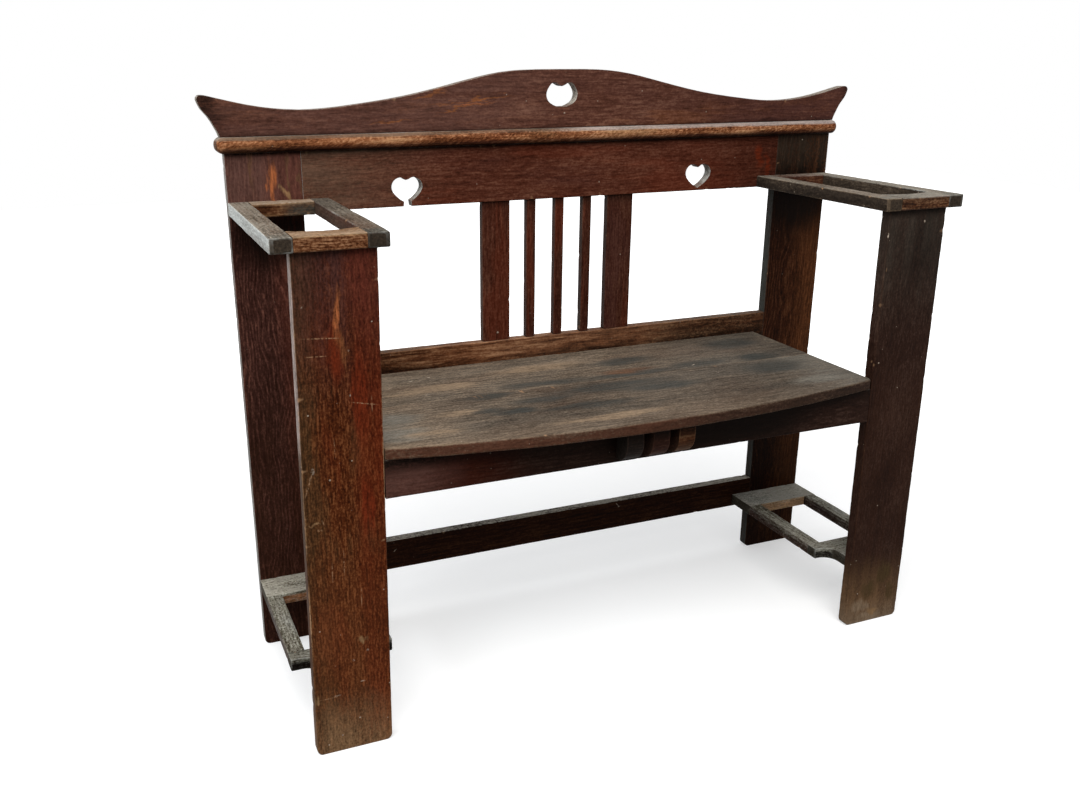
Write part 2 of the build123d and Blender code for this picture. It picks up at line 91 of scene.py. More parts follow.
def edge_lines(node, along, across, stations):
    """Lowest and highest reach of a board at each station.

    Each mesh edge that crosses a station's plane is cut there by the rule of three,
    and the least and the greatest of the cuts are the board's two edge lines."""
    points, pairs = mesh_arrays(node)
    start, end = points[pairs[:, 0]], points[pairs[:, 1]]
    run = end[:, along] - start[:, along]
    crossing = abs(run) > 1e-7
    start, end, run = start[crossing], end[crossing], run[crossing]
    share = (stations[:, None] - start[:, along]) / run
    cut = start[:, across] + share * (end[:, across] - start[:, across])
    cut = np.where((share >= 0) & (share <= 1), cut, np.nan)
    return np.nanmin(cut, axis=1), np.nanmax(cut, axis=1)


def station_places(start, end, breaks):
    """Places along a board: even steps, closer at its ends and at sudden turns."""
    zone = min(END_ZONE, (end - start) / 4)
    near = zone * np.linspace(0, 1, 13) ** 1.6
    count = max(3, round((end - start - 2 * zone) / STEP))
    middle = np.linspace(start + zone, end - zone, count)[1:-1]
    turns = [place + side * BESIDE_A_TURN for place in breaks for side in (-1, 1)]
    return np.unique(np.concatenate([start + near, middle, end - near[::-1]] + turns))


# %% [markdown]
# A worn board is one closed surface: a rectangle with round corners, carried along
# the grain. The corners' radius swells and shrinks, as hands and boots rub an arris
# unevenly, and small hollows are pressed in, most at the arrises. Each point keeps
# two numbers for the finish: its distance from the nearest arris, and its bruise.

# %% The section of a worn board
ARC_STEPS, WIDE_STEPS, NARROW_STEPS = 4, 11, 5
CORNERS = ((-1, -1), (1, -1), (1, 1), (-1, 1))
HOLD = 1.2 * MM  # from a corner to the straight run's first point
WAVE_COUNT = 6
# Kinds of bruise: how many a metre, and least and greatest radius and depth in millimetres.
NICKS = (42, (1.4, 4.5), (0.25, 1.0))
DENTS = (26, (2.0, 7.0), (0.1, 0.42))


def section_loops(low, high, back, front, radii):
    """Loops of points round a board's sections, and the outward direction of each point.

    A corner is a quarter circle: its centre, one radius in from both sides, plus the
    radius times (cos, sin) of the turn. Straight runs join the corners, with a point
    close to each so that the faces shade flat."""
    turn = np.linspace(0, math.pi / 2, ARC_STEPS + 1)
    sides = np.stack([low, high, high, low], axis=1)
    depths = np.stack([back, back, front, front], axis=1)
    signs = np.array(CORNERS)
    starts = np.array([math.pi, 1.5 * math.pi, 0, 0.5 * math.pi])
    angle = starts[:, None] + turn
    ways = np.stack([np.cos(angle), np.sin(angle)], axis=-1)
    centres = np.stack([sides - signs[:, 0] * radii, depths - signs[:, 1] * radii], axis=-1)
    arcs = centres[:, :, None] + radii[:, :, None, None] * ways
    loops, normals = [], []
    for corner in range(4):
        following = (corner + 1) % 4
        loops.append(arcs[:, corner])
        normals.append(np.broadcast_to(ways[corner], arcs[:, corner].shape))
        begin, finish = arcs[:, corner, -1], arcs[:, following, 0]
        length = np.linalg.norm(finish - begin, axis=-1, keepdims=True)
        hold = np.minimum(HOLD / np.maximum(length, 1e-9), 0.2)
        steps = NARROW_STEPS if corner % 2 else WIDE_STEPS
        inner = np.linspace(0, 1, steps)[None, :, None]
        share = hold[:, None] + inner * (1 - 2 * hold[:, None])
        loops.append(begin[:, None] + share * (finish - begin)[:, None])
        normals.append(np.broadcast_to(ways[corner, -1], loops[-1].shape))
    return np.concatenate(loops, axis=1), np.concatenate(normals, axis=1)


def waves(points, rng, length):
    """A smooth height, about -1 to 1: the mean of sine waves in random directions."""
    ways = rng.normal(size=(WAVE_COUNT, 3))
    ways *= (2 * math.pi / length) / np.linalg.norm(ways, axis=1, keepdims=True)
    phases = rng.uniform(0, 2 * math.pi, WAVE_COUNT)
    return np.sin(points @ ways.T + phases).mean(axis=-1) * 1.6


def hollows(points, weights, rng, amount, kind):
    """Small pressed hollows: each is a bell curve of the distance from its middle."""
    number, size, depth = kind
    count = round(amount * number)
    if count == 0:
        return np.zeros(points.shape[:2])
    flat = points.reshape(-1, 3)
    chances = (weights / weights.sum()).ravel()
    middles = flat[rng.choice(len(flat), count, p=chances)]
    sizes = rng.uniform(size[0], size[1], count) * MM
    depths = rng.uniform(depth[0], depth[1], count) ** 1.5 * MM
    total = np.zeros(len(flat))
    for middle, radius, deep in zip(middles, sizes, depths):
        gap = np.linalg.norm(flat - middle, axis=1)
        total = np.maximum(total, deep * np.exp(-(gap / radius) ** 2))
    return total.reshape(points.shape[:2])


# %% [markdown]
# The last sections are drawn in along a quarter circle, which rounds the board's
# ends, and rings that shrink to one point close them.

# %% Close a board's surface
SHARP = math.radians(50)


def board_mesh(name, grid, layers, flipped):
    """One closed mesh from a grid of rings: quads between rings, and a fan at each end."""
    rings, around = grid.shape[:2]
    first, last = grid[0].mean(axis=0), grid[-1].mean(axis=0)
    points = np.concatenate([grid.reshape(-1, 3), [first, last]])
    row = np.arange(rings - 1)[:, None] * around
    turn = np.arange(around)
    ahead = (turn + 1) % around
    quads = np.stack([row + turn, row + ahead, row + around + ahead, row + around + turn], axis=-1)
    middle, end = np.full(around, rings * around), (rings - 1) * around
    fans = [np.stack([middle, ahead, turn], axis=1),
            np.stack([middle + 1, end + turn, end + ahead], axis=1)]
    faces = quads.reshape(-1, 4).tolist() + np.concatenate(fans).tolist()
    if flipped:
        faces = [face[::-1] for face in faces]
    mesh = bpy.data.meshes.new(name)
    mesh.from_pydata(points, [], faces)
    for layer, values in layers.items():
        attribute = mesh.attributes.new(layer, "FLOAT", "POINT")
        values = np.concatenate([values.ravel(), [values[0].mean(), values[-1].mean()]])
        attribute.data.foreach_set("value", values.astype(np.float32))
    mesh.polygons.foreach_set("use_smooth", np.ones(len(mesh.polygons), dtype=bool))
    mesh.set_sharp_from_angle(angle=SHARP)
    return mesh


# %% Rounded arrises and ends
LONG_SWELL, SHORT_SWELL = 90 * MM, 23 * MM
RIPPLE, RIPPLE_LENGTH = 0.07 * MM, 75 * MM
END_SHARES = [0.12, 0.4, 0.72]


def drawn_in(gaps, radii):
    """How far the sections are drawn in at a board's two ends.

    At a distance g from an end of radius r, a quarter circle has come in by
    r - sqrt(r * r - (r - g) * (r - g))."""
    inset = np.zeros(len(gaps[0]))
    for gap, radius in zip(gaps, radii):
        curve = radius - np.sqrt(np.maximum(radius ** 2 - np.maximum(radius - gap, 0) ** 2, 0))
        inset = np.maximum(inset, curve)
    return inset


def arris_radii(stations, rng, radii, wear):
    """Each arris's radius at each station, swelling by a long wave and half a short one."""
    level = np.zeros(len(stations))
    line = np.stack([stations, level, level], axis=1)
    base = np.broadcast_to(np.array(radii, dtype=float) * MM, (len(stations), 4))
    swell = np.stack([waves(line, rng, LONG_SWELL) for corner in range(4)], axis=1)
    swell += np.stack([waves(line, rng, SHORT_SWELL) for corner in range(4)], axis=1) * 0.5
    return base * (1 + 0.32 * wear * np.clip(swell, -0.6, 1.6))


def arris_gap(loops, sides, faces, end_gap):
    """Distance from the nearest arris: the sum of the two least distances from faces."""
    (low, high), (back, front) = sides, faces
    gaps = np.stack([np.minimum(loops[..., 0] - low[:, None], high[:, None] - loops[..., 0]),
                     np.minimum(loops[..., 1] - back[:, None], front[:, None] - loops[..., 1]),
                     np.broadcast_to(end_gap[:, None], loops.shape[:2])])
    gaps = np.sort(np.maximum(gaps, 0), axis=0)
    return gaps[0] + gaps[1]


def end_rings(ring, shares):
    """Copies of an end's ring, shrunk towards its middle to these shares."""
    middle = ring.mean(axis=0)
    return middle + np.array(shares)[:, None, None] * (ring - middle)


# %% Build a worn board
def worn_board(name, along, across, seed, span=None, radii=1.4, ends=(1.2, 1.2),
               joints=(False, False), breaks=(), wear=1.0, end_across=True):
    """A board of the model made again as worn timber, standing for the model's node.

    Radii and ends are in millimetres. A joint end is one that meets another board, so
    it is cut square and nobody has rubbed it."""
    rng = np.random.default_rng(seed)
    deep = 3 - along - across
    lowest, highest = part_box(name)
    start, end = span or (lowest[along], highest[along])
    stations = station_places(start, end, breaks)
    low, high = edge_lines(name, along, across, np.clip(stations, start + HAIR, end - HAIR))
    from_start, from_end = stations - start, end - stations
    inset = drawn_in((from_start, from_end), (ends[0] * MM, ends[1] * MM))
    back, front = lowest[deep] + inset, highest[deep] - inset
    if end_across:
        low, high = low + inset, high - inset
    room = np.minimum(high - low, front - back) / 2
    round_off = arris_radii(stations, rng, radii, wear)
    round_off = np.minimum(round_off, 0.96 * np.maximum(room, 1e-6)[:, None])
    loops, normals = section_loops(low, high, back, front, round_off)
    points = np.empty((*loops.shape[:2], 3))
    points[..., along] = stations[:, None]
    points[..., across], points[..., deep] = loops[..., 0], loops[..., 1]
    ways = np.zeros_like(points)
    ways[..., across], ways[..., deep] = normals[..., 0], normals[..., 1]
    end_gap = np.minimum(np.where(joints[0], 1.0, from_start), np.where(joints[1], 1.0, from_end))
    arris = arris_gap(loops, (low, high), (back, front), end_gap)
    away = np.minimum(from_start, from_end)[:, None] > 3 * MM
    near = np.exp(-arris / (1.5 * MM)) * away + 1e-9
    anywhere = np.ones_like(arris) * away + 1e-9
    amount = wear * (end - start)
    nick = hollows(points, near, rng, amount, NICKS)
    dent = hollows(points, anywhere, rng, amount, DENTS)
    ripple = RIPPLE * np.clip(1 + waves(points, rng, RIPPLE_LENGTH), 0, 2)
    points = points - ways * (nick + dent + ripple * away)[..., None]
    closing = end_rings(points[-1], END_SHARES[::-1])
    grid = np.concatenate([end_rings(points[0], END_SHARES), points, closing])
    pad = [(len(END_SHARES), len(END_SHARES)), (0, 0)]
    layers = {"arris": np.pad(arris, pad, constant_values=0.02), "nick": np.pad(nick / MM, pad)}
    flipped = (along, across, deep) not in ((X, Y, Z), (Y, Z, X), (Z, X, Y))
    board = placed(name + "_worn", board_mesh(name + "_worn", grid, layers, flipped))
    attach(board, "root")
    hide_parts(name)
    return board


# %% [markdown]
# Hearts are sawn through the finished board. The saw's way is a closed prism with
# the heart's outline from the model, a little wider at both faces, so that the rims
# come out eased and not razor sharp.

# %% Saw a shape through a board
# Where the cutter's rings lie, as shares of the board's depth, and their share of flare.
CUTTER_RINGS = [(-0.5, 1.6), (-0.02, 1.0), (0.012, 0.62), (0.035, 0.25), (0.07, 0.0)]


def rim_outline(node, middle_x, reach, floor_z, roof_z):
    """The rim points of a hole in a board's front face, in order round their middle."""
    points, pairs = mesh_arrays(node)
    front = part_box(node)[0][Y]
    chosen = (abs(points[:, Y] - front) < HAIR) & (abs(points[:, X] - middle_x) < reach)
    chosen &= (points[:, Z] > floor_z) & (points[:, Z] < roof_z)
    rim = np.unique(points[chosen][:, (X, Z)].round(6), axis=0)
    middle = np.array([middle_x, (rim[:, 1].min() + rim[:, 1].max()) / 2])
    angle = np.arctan2(*(rim - middle).T[::-1])
    return rim[np.argsort(angle)], middle


def prism(name, outline, middle, front, back, flare):
    """A closed prism along Y, wider by the flare where it leaves each face."""
    span = back - front
    places = CUTTER_RINGS + [(1 - place, grow) for place, grow in CUTTER_RINGS[::-1]]
    radius = np.linalg.norm(outline - middle, axis=1).mean()
    rings = []
    for place, grow in places:
        ring = middle + (outline - middle) * (1 + grow * flare / radius)
        level = np.full(len(ring), front + place * span)
        rings.append(np.stack([ring[:, 0], level, ring[:, 1]], axis=1))
    return placed(name, board_mesh(name, np.array(rings), {}, False))


def saw_through(board, cutter):
    """Take the cutter's shape out of a board for good, and throw the cutter away."""
    shape = bmesh.new()
    shape.from_mesh(cutter.data)
    bmesh.ops.recalc_face_normals(shape, faces=shape.faces)
    shape.to_mesh(cutter.data)
    shape.free()
    cut = board.modifiers.new("saw", "BOOLEAN")
    cut.operation = "DIFFERENCE"
    cut.solver = "EXACT"
    cut.object = cutter
    bpy.context.view_layer.update()
    graph = bpy.context.evaluated_depsgraph_get()
    sawn = bpy.data.meshes.new_from_object(board.evaluated_get(graph))
    board.modifiers.clear()
    old = board.data
    board.data = sawn
    bpy.data.meshes.remove(old)
    bpy.data.objects.remove(cutter)
    board.data.set_sharp_from_angle(angle=SHARP)


# %% [markdown]
# Where a board ends at another, its length runs from shoulder to shoulder, so the
# hidden tenons are left to the model.

# %% Boards of the back
worn = {}


def add(name, along, across, **facts):
    """Make one worn board, number it, and keep it by its node's name."""
    worn[name] = worn_board(name, along, across, seed=101 + len(worn), **facts)


post_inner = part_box("rear_post_right")[0].x
slat_low, slat_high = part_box("seat_back_rail")[1].z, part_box("top_rail")[0].z
for side in ("left", "right"):
    add("rear_post_" + side, Z, X, ends=(1.0, 0.1), joints=(False, True), wear=0.8)
    add("front_post_" + side, Z, X, ends=(1.2, 0.1), joints=(False, True), wear=1.3, radii=1.7)
BOTH = (True, True)
for name in ("top_rail", "seat_back_rail", "back_stretcher"):
    add(name, X, Z, span=(-post_inner, post_inner), ends=(0.3, 0.3), joints=BOTH, radii=1.5)
for name in sorted(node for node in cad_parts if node.startswith("back_slat_")):
    add(name, Z, X, span=(slat_low, slat_high), ends=(1.0, 0.3), joints=(False, True), radii=1.3,
        wear=0.6)
nose = 10.4
add("cap_moulding", X, Y, radii=(nose, 0.8, 0.8, nose), ends=(nose, nose), end_across=False, wear=0.5)
points = mesh_arrays("crest_board")[0]
crest_feet = points[points[:, Z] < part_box("crest_board")[0].z + HAIR][:, X]
crest_turns = (crest_feet.min(), crest_feet.max())
add("crest_board", X, Z, radii=1.1, ends=(0.6, 0.6), wear=0.6, breaks=crest_turns)
print("back boards:", len(worn))

# %% Saw the hearts
rail_low, rail_high = (corner.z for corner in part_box("top_rail"))
rail_front, rail_back = (corner.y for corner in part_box("top_rail"))
heart_reach = 32 * MM
heart_x = 268 * MM
rim_ease = 0.5 * MM
rail_zone = (rail_low + 2 * MM, rail_high - 4 * MM)
outline, middle = rim_outline("top_rail", heart_x, heart_reach, *rail_zone)
for side in (-1, 1):
    flip = (side, 1)
    cutter = prism("heart", outline * flip, middle * flip, rail_front, rail_back, rim_ease)
    saw_through(worn["top_rail"], cutter)
slit_half, slit_mouth, slit_top, mouth_round = 4.75 * MM, 3 * MM, 9 * MM, 2.4 * MM
turn = np.linspace(0, math.pi / 2, 6)
mouth = (slit_half + mouth_round * (1 - np.sin(turn)), mouth_round * (1 - np.cos(turn)))
flank = np.stack(mouth, axis=1)
flank = np.concatenate([[(slit_half + mouth_round, -slit_mouth)], flank, [(slit_half, slit_top)]])
slit_foot = np.array([-heart_x, rail_low])
slit = slit_foot + np.concatenate([flank, flank[::-1] * (-1, 1)])
saw_through(worn["top_rail"], prism("slit", slit, slit_foot, rail_front, rail_back, rim_ease))
crest_low, crest_high = (corner.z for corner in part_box("crest_board"))
crest_zone = (crest_low + 20 * MM, crest_high - 12 * MM)
outline, middle = rim_outline("crest_board", 0.0, heart_reach, *crest_zone)
saw_through(worn["crest_board"], prism("heart", outline, middle, rail_front, rail_back, rim_ease))
print("hearts sawn; top rail has", len(worn["top_rail"].data.polygons), "faces")

# %% Seat, apron and brackets
add("seat_rear_board", X, Y, radii=(0.5, 0.5, 0.5, 0.5), ends=(1.0, 1.0), wear=0.5)
add("seat_front_board", X, Y, radii=(3.0, 0.5, 0.5, 3.0), ends=(1.2, 1.2), wear=1.1)
apron_stations = [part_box("seat_front_board")[side].x for side in (0, 1)]
add("front_apron", X, Z, span=apron_stations, ends=(0.2, 0.2), joints=BOTH, wear=0.5)
for place in ("left", "middle", "right"):
    add("seat_corbel_" + place, Z, Y, radii=0.9, ends=(0.6, 0.2), joints=(False, True), wear=0.7)
print("boards up to the seat:", len(worn))

# %% [markdown]
# Each end has an open frame at arm height and one near the floor. Where a rail runs
# into another's side, its board stops there.

# %% Arm frames and lower frames
SQUARE = {"ends": (0.2, 0.2), "joints": BOTH}
for side, sign in (("left", -1), ("right", 1)):
    for rail in ("arm_outer_rail_", "arm_inner_rail_"):
        add(rail + side, Y, X, radii=2.1, ends=(2.2, 0.2), joints=(False, True), wear=1.1)
    inner = [abs(corner.x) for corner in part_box("arm_inner_rail_" + side)]
    outer = [abs(corner.x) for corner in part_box("arm_outer_rail_" + side)]
    span = sorted((sign * max(inner), sign * min(outer)))
    add("arm_front_rail_" + side, X, Y, span=span, radii=2.1, wear=1.1, **SQUARE)
    add("arm_rear_rail_" + side, X, Y, span=span, radii=(2.0, 0.5, 0.5, 2.0), **SQUARE)
    front_box, rear_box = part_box("lower_front_rail_" + side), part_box("lower_rear_rail_" + side)
    for rail in ("lower_outer_rail_", "lower_inner_rail_"):
        add(rail + side, Y, X, span=(front_box[1].y, rear_box[0].y), radii=1.5, **SQUARE)
    points = mesh_arrays("lower_front_rail_" + side)[0]
    tongue = points[abs(points[:, Y] - front_box[0].y) < HAIR][:, X]
    tongue_turns = (tongue.min(), tongue.max())
    add("lower_front_rail_" + side, X, Y, radii=1.1, ends=(1.2, 1.2), breaks=tongue_turns)
    add("lower_rear_rail_" + side, X, Y, radii=1.3, ends=(1.0, 1.0))
face_count = sum(len(board.data.polygons) for board in worn.values())
print("worn boards:", len(worn), "faces:", face_count)

# %% [markdown]
# The finish is written as arithmetic. A Wire is a socket of a shader tree: adding or
# multiplying Wires adds Math nodes, and one method makes any other node.

# %% Shader arithmetic
class Wire:
    """A socket that reads like a number in an expression."""

    def __init__(self, tree, socket=None):
        self.tree = tree
        self.socket = socket

    def node(self, kind, settings=None, sockets=None, out=0):
        """Any shader node: its settings first, then values or links for its sockets."""
        made = self.tree.nodes.new("ShaderNode" + kind)
        for key, value in (settings or {}).items():
            if key == "stops":
                set_stops(made.color_ramp, value)
            else:
                setattr(made, key, value)
        for key, value in (sockets or {}).items():
            if isinstance(value, Wire):
                self.tree.links.new(value.socket, made.inputs[key])
            else:
                made.inputs[key].default_value = value
        return Wire(self.tree, made.outputs[out] if len(made.outputs) else None)

    def output(self, name):
        """Another output of the same node."""
        return Wire(self.tree, self.socket.node.outputs[name])

    def math(self, operation, *others):
        """One Math node on this value and the others."""
        sockets = dict(enumerate((self, *others)))
        return self.node("Math", {"operation": operation}, sockets)

    def vector(self, operation, *others, out=0):
        """One Vector Math node on this vector and the others."""
        sockets = dict(enumerate((self, *others)))
        return self.node("VectorMath", {"operation": operation}, sockets, out)

    def __add__(self, other):
        return self.math("ADD", other)

    def __sub__(self, other):
        return self.math("SUBTRACT", other)

    def __rsub__(self, other):
        return self.node("Math", {"operation": "SUBTRACT"}, {0: other, 1: self})

    def __mul__(self, other):
        return self.math("MULTIPLY", other)

    def __truediv__(self, other):
        return self.math("DIVIDE", other)

    __radd__ = __add__
    __rmul__ = __mul__

    def held(self):
        """The value kept between 0 and 1."""
        return self.node("Clamp", {}, {0: self})

    def rise(self, low, high):
        """0 below low, 1 above high, smooth between. With low above high it falls."""
        ends = {"Value": self, "From Min": low, "From Max": high}
        return self.node("MapRange", {"interpolation_type": "SMOOTHSTEP"}, ends)

    def parts(self):
        """The three numbers of a vector."""
        split = self.node("SeparateXYZ", {}, {0: self})
        return [split.output(axis) for axis in "XYZ"]

    def noise(self, scales, detail=2.0, roughness=0.5, out=0):
        """Cloud noise: along each axis its lumps are one over the scale, in metres."""
        spot = self.vector("MULTIPLY", scales)
        sockets = {"Vector": spot, "Scale": 1.0, "Detail": detail, "Roughness": roughness}
        return self.node("TexNoise", {}, sockets, out)


def set_stops(ramp, stops):
    """Place a ramp's stops: (position, colour) pairs in rising order."""
    while len(ramp.elements) < len(stops):
        ramp.elements.new(1.0)
    for element, (position, colour) in zip(ramp.elements, stops):
        element.position = position
        element.color = (*colour, 1.0)


def blend(share, first, second):
    """A colour part of the way from the first to the second."""
    colours = (tone if isinstance(tone, Wire) else (*tone, 1.0) for tone in (first, second))
    sockets = {0: share, **dict(zip((6, 7), colours))}
    return share.node("Mix", {"data_type": "RGBA"}, sockets, out=2)


def shaded(colour, amount):
    """A colour times a number. At least one of the two varies."""
    maker = colour if isinstance(colour, Wire) else amount
    return maker.node("VectorMath", {"operation": "SCALE"}, {0: colour, 3: amount})


def turned(spot, middle, turn, scale=(1, 1, 1)):
    """A place seen from a middle point, in axes turned and scaled."""
    sockets = {"Vector": spot, "Location": middle, "Rotation": turn, "Scale": scale}
    return spot.node("Mapping", {"vector_type": "TEXTURE"}, sockets)


def new_material(name):
    """A material with an empty tree, and a Wire to start it from."""
    material = bpy.data.materials.new(name)
    material.use_nodes = True
    material.node_tree.nodes.clear()
    return material, Wire(material.node_tree)


def finished(start, sockets):
    """End a tree with its shader."""
    shader = start.node("BsdfPrincipled", {}, sockets)
    start.node("OutputMaterial", {}, {"Surface": shader})


# %% [markdown]
# A colour is written as it looks on a screen, from 0 to 255. Each kind of wood has
# three, and a wash or a mark has one.

# %% Colours of the oak
def paint(red, green, blue):
    """A screen colour as light: (c / 255 + 0.055) / 1.055, to the power 2.4."""
    return tuple(((value / 255 + 0.055) / 1.055) ** 2.4 for value in (red, green, blue))


# Each wood's dark lines, its body, and its light fibres.
WOODS = dict(
    plum=((58, 32, 22), (87, 53, 42), (122, 86, 70)),
    wine=((50, 20, 10), (78, 41, 29), (108, 70, 54)),
    red=((44, 16, 4), (75, 35, 15), (118, 70, 40)),
    umber=((20, 7, 2), (48, 24, 13), (82, 52, 34)),
    maroon=((34, 15, 10), (61, 36, 30), (112, 72, 60)),
    coal=((18, 9, 6), (41, 26, 20), (74, 56, 48)),
    worn=((52, 24, 10), (114, 70, 44), (178, 132, 96)),
    grey=((52, 43, 34), (93, 80, 67), (142, 124, 105)),
    ash=((50, 42, 30), (104, 101, 89), (158, 157, 146)),
    beech=((140, 104, 70), (186, 148, 108), (212, 180, 140)),
)
WOODS = {name: [paint(*colour) for colour in colours] for name, colours in WOODS.items()}
BARE_OAK = paint(170, 132, 98)
CHARCOAL = paint(42, 38, 34)
CHALK = paint(190, 174, 156)
# The grey of dust, which on tops also stands for a painted grey sheen.
DUST_AND_SHEEN = paint(150, 144, 133)
# The near-black wash is painted shade: under the cap, the arms and the seat, at joints and on inner faces.
# On faces turned left, pale, silver, mauve and slate are painted light and sheen, with some dust.
WASH = dict(grime=(14, 7, 3), slate=(54, 54, 51), dusty=(128, 98, 70), pale=(158, 159, 154),
    tan=(136, 106, 74), orange=(122, 74, 44), flame=(152, 88, 52), red=(92, 34, 16), shade=(52, 44, 37),
    brown=(86, 60, 44), scratch=(158, 122, 92), plum=(66, 40, 36), olive=(66, 52, 32), dun=(104, 86, 70),
    maroon=(60, 36, 30), charcoal=(56, 53, 47), mauve=(146, 132, 126), rust=(144, 98, 68),
    heather=(86, 59, 52), silver=(172, 174, 170), umber=(44, 24, 15), brick=(76, 49, 37),
    chip=(176, 142, 108), straw=(126, 107, 87), mist=(106, 101, 92))
WASH = {name: paint(*colour) for name, colour in WASH.items()}
WASH["chalk"] = CHALK
print("woods:", len(WOODS), "colours of washes and marks:", len(WASH))

# %% [markdown]
# One recipe makes every board's finish from its look, in millimetres where it is a
# length. A material made by hand for each board would be 38 recipes to keep alike.
# - wood, shade: the kind of wood, and how light all of it is.
# - fine, grit, lines, patches, flecks, rings: how strong each part of the grain is.
# - dash, strand, slant: flecks to a metre along and across, and their angle.
# - ring_step, pith, wobble, tilt: the rings' width, place, wander and slope.
# - edges, reach, rim: how worn the arrises are, how far in, and their colour.
# - dust, specks, end, rough: dust with a painted grey sheen on top, pale specks, dark end grain, dullness.
# - mottle: the colours of low and of high clouds, and their share.
# - washes: (colour, axis, from, to, share), and a way such as LEFT that it keeps to.
# - marks: a colour, and ovals of (along, across, half length, half width), and degrees
#   from the grain if turned.

# %% The words of a look
LEFT, UP, FRONT = (X, -1), (Z, 1), (Y, -1)
ALL = (Z, -1, 0)  # the stretch of a wash that covers the whole board
LOOK = dict(wood="red", shade=1, fine=0.8, grit=1.1, dash=70, strand=330, lines=0.8, patches=0.8,
    flecks=0.3, rings=0.3, ring_step=3, pith=0, wobble=1.6, tilt=0.05, slant=0, edges=0.35, rim=None,
    reach=2.2, dust=0.5, specks=0.5, end=0.85, rough=0.5, mottle=("shade", "brown", 0.0), washes=(),
    marks=())

# %% [markdown]
# Solid oak has its pattern all through: growth rings round the tree's middle, fibres
# along the grain, and pores as short dark dashes where a ring begins. So the pattern
# is worked out in three dimensions from Object coordinates, and a board's end shows
# end grain without further help. A ring's number is the distance from the tree's
# middle over the ring's width, and its fraction is how far on in its year the wood is.

# %% The grain of one board
def ring_part(at, wood, rng):
    """How far through its year the wood is, from 0 to 1."""
    look, numbers, middles = at.look, at.numbers, at.middles
    bend = wood.noise((5, 11, 11), 2.0) - 0.5
    pith_across = rng.uniform(-0.035, 0.035) + look["pith"] * MM
    pith_deep = rng.choice([-1, 1]) * rng.uniform(0.05, 0.09)
    lean = look["tilt"] * rng.uniform(-1, 1)
    aside = numbers[at.across] - (middles[at.across] + pith_across) + bend * 0.05
    aside = aside + (numbers[at.along] - middles[at.along]) * lean
    below = numbers[at.deep] - (middles[at.deep] + pith_deep) + bend * 0.02
    ring = (aside * aside + below * below).math("SQRT") / (look["ring_step"] * MM)
    return (ring + wood.noise((14, 50, 50), 2.0) * look["wobble"]).math("FRACT")


def grain(start, node, axes, rng, look):
    """What the finish reads at a point: place, facing, and clouds drawn out along the grain."""
    lowest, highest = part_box(node)
    along, across = axes
    at = SimpleNamespace(look=look, along=along, across=across, deep=3 - along - across)
    at.middles = [(low + high) / 2 for low, high in zip(lowest, highest)]
    at.numbers = start.node("TexCoord", out="Object").parts()
    at.facing = start.node("TexCoord", out="Normal").parts()
    order = dict(enumerate(at.numbers[axis] for axis in (along, across, at.deep)))
    at.spot = start.node("CombineXYZ", {}, order)
    at.wood = wood = at.spot.vector("ADD", tuple(rng.uniform(-5, 5, 3)))
    at.arris = start.node("Attribute", {"attribute_name": "arris"}, {}, "Fac")
    at.nick = start.node("Attribute", {"attribute_name": "nick"}, {}, "Fac")
    year = ring_part(at, wood, rng)
    early = year.rise(0.4, 0.0).math("MAXIMUM", year.rise(0.8, 1.0))
    slanted = turned(wood, (0, 0, 0), (0, look["slant"], look["slant"]))
    at.fibre = wood.noise((13, 230, 230), 3.0, 0.62)
    at.fleck = slanted.noise((look["dash"], look["strand"], look["strand"]), 3.0, 0.6)
    at.grit = wood.noise((260, 330, 330), 2.0, 0.6)
    at.streak = wood.noise((5, 60, 60), 3.0, 0.6)
    at.stain = wood.noise((7, 10, 10), 4.0, 0.6)
    at.crumble = wood.noise((190, 330, 330), 3.0, 0.7)
    at.pore = wood.noise((60, 620, 620), 1.0).rise(0.58, 0.68) * (0.4 + early * 0.6)
    tone = ((at.fleck - 0.5) * 1.5 + (at.grit - 0.5) * look["grit"]) * look["fine"]
    tone = tone + (at.fibre - 0.5) * (1.2 * look["lines"]) + (at.streak - 0.5) * (0.45 * look["lines"])
    tone = tone + (at.stain - 0.5) * (0.8 * look["patches"])
    at.tone = tone - (early - 0.3) * (0.3 * look["rings"]) + 0.5
    at.light = at.tone * 1.05 + 0.475
    at.end_on = at.facing[along].math("ABSOLUTE").rise(0.72, 0.95)
    return at


# %% [markdown]
# The stain is a colour ramp over the grain's tone, with bright flecks and dark pores.
# The same tone shades washes and mottles, as grain does through a thin stain.

# %% Stain, mottles and washes
def stained(at):
    """The board's own colours by tone, then flecks, pores and mottles."""
    dark, middling, light = WOODS[at.look["wood"]]
    stops = [(0.16, dark), (0.5, middling), (0.92, light)]
    body = at.tone.node("ValToRGB", {"stops": stops}, {0: at.tone})
    body = shaded(body, at.look["shade"])
    bright = (at.fleck * 0.7 + at.fibre * 0.3).rise(0.56, 0.70)
    bright = bright * (0.2 + (at.stain * 0.5 + at.streak * 0.5).rise(0.42, 0.6) * 0.8)
    body = blend(bright * at.look["flecks"], body, light)
    body = blend(at.pore * 0.5, body, dark)
    low_colour, high_colour, share = at.look["mottle"]
    if share:
        cloud = at.wood.noise((3.2, 13, 13), 3.0, 0.6) + (at.fibre - 0.5) * 0.25
        body = blend(cloud.rise(0.50, 0.36) * share, body, shaded(WASH[low_colour], at.light))
        body = blend(cloud.rise(0.52, 0.64) * share, body, shaded(WASH[high_colour], at.light))
    return body


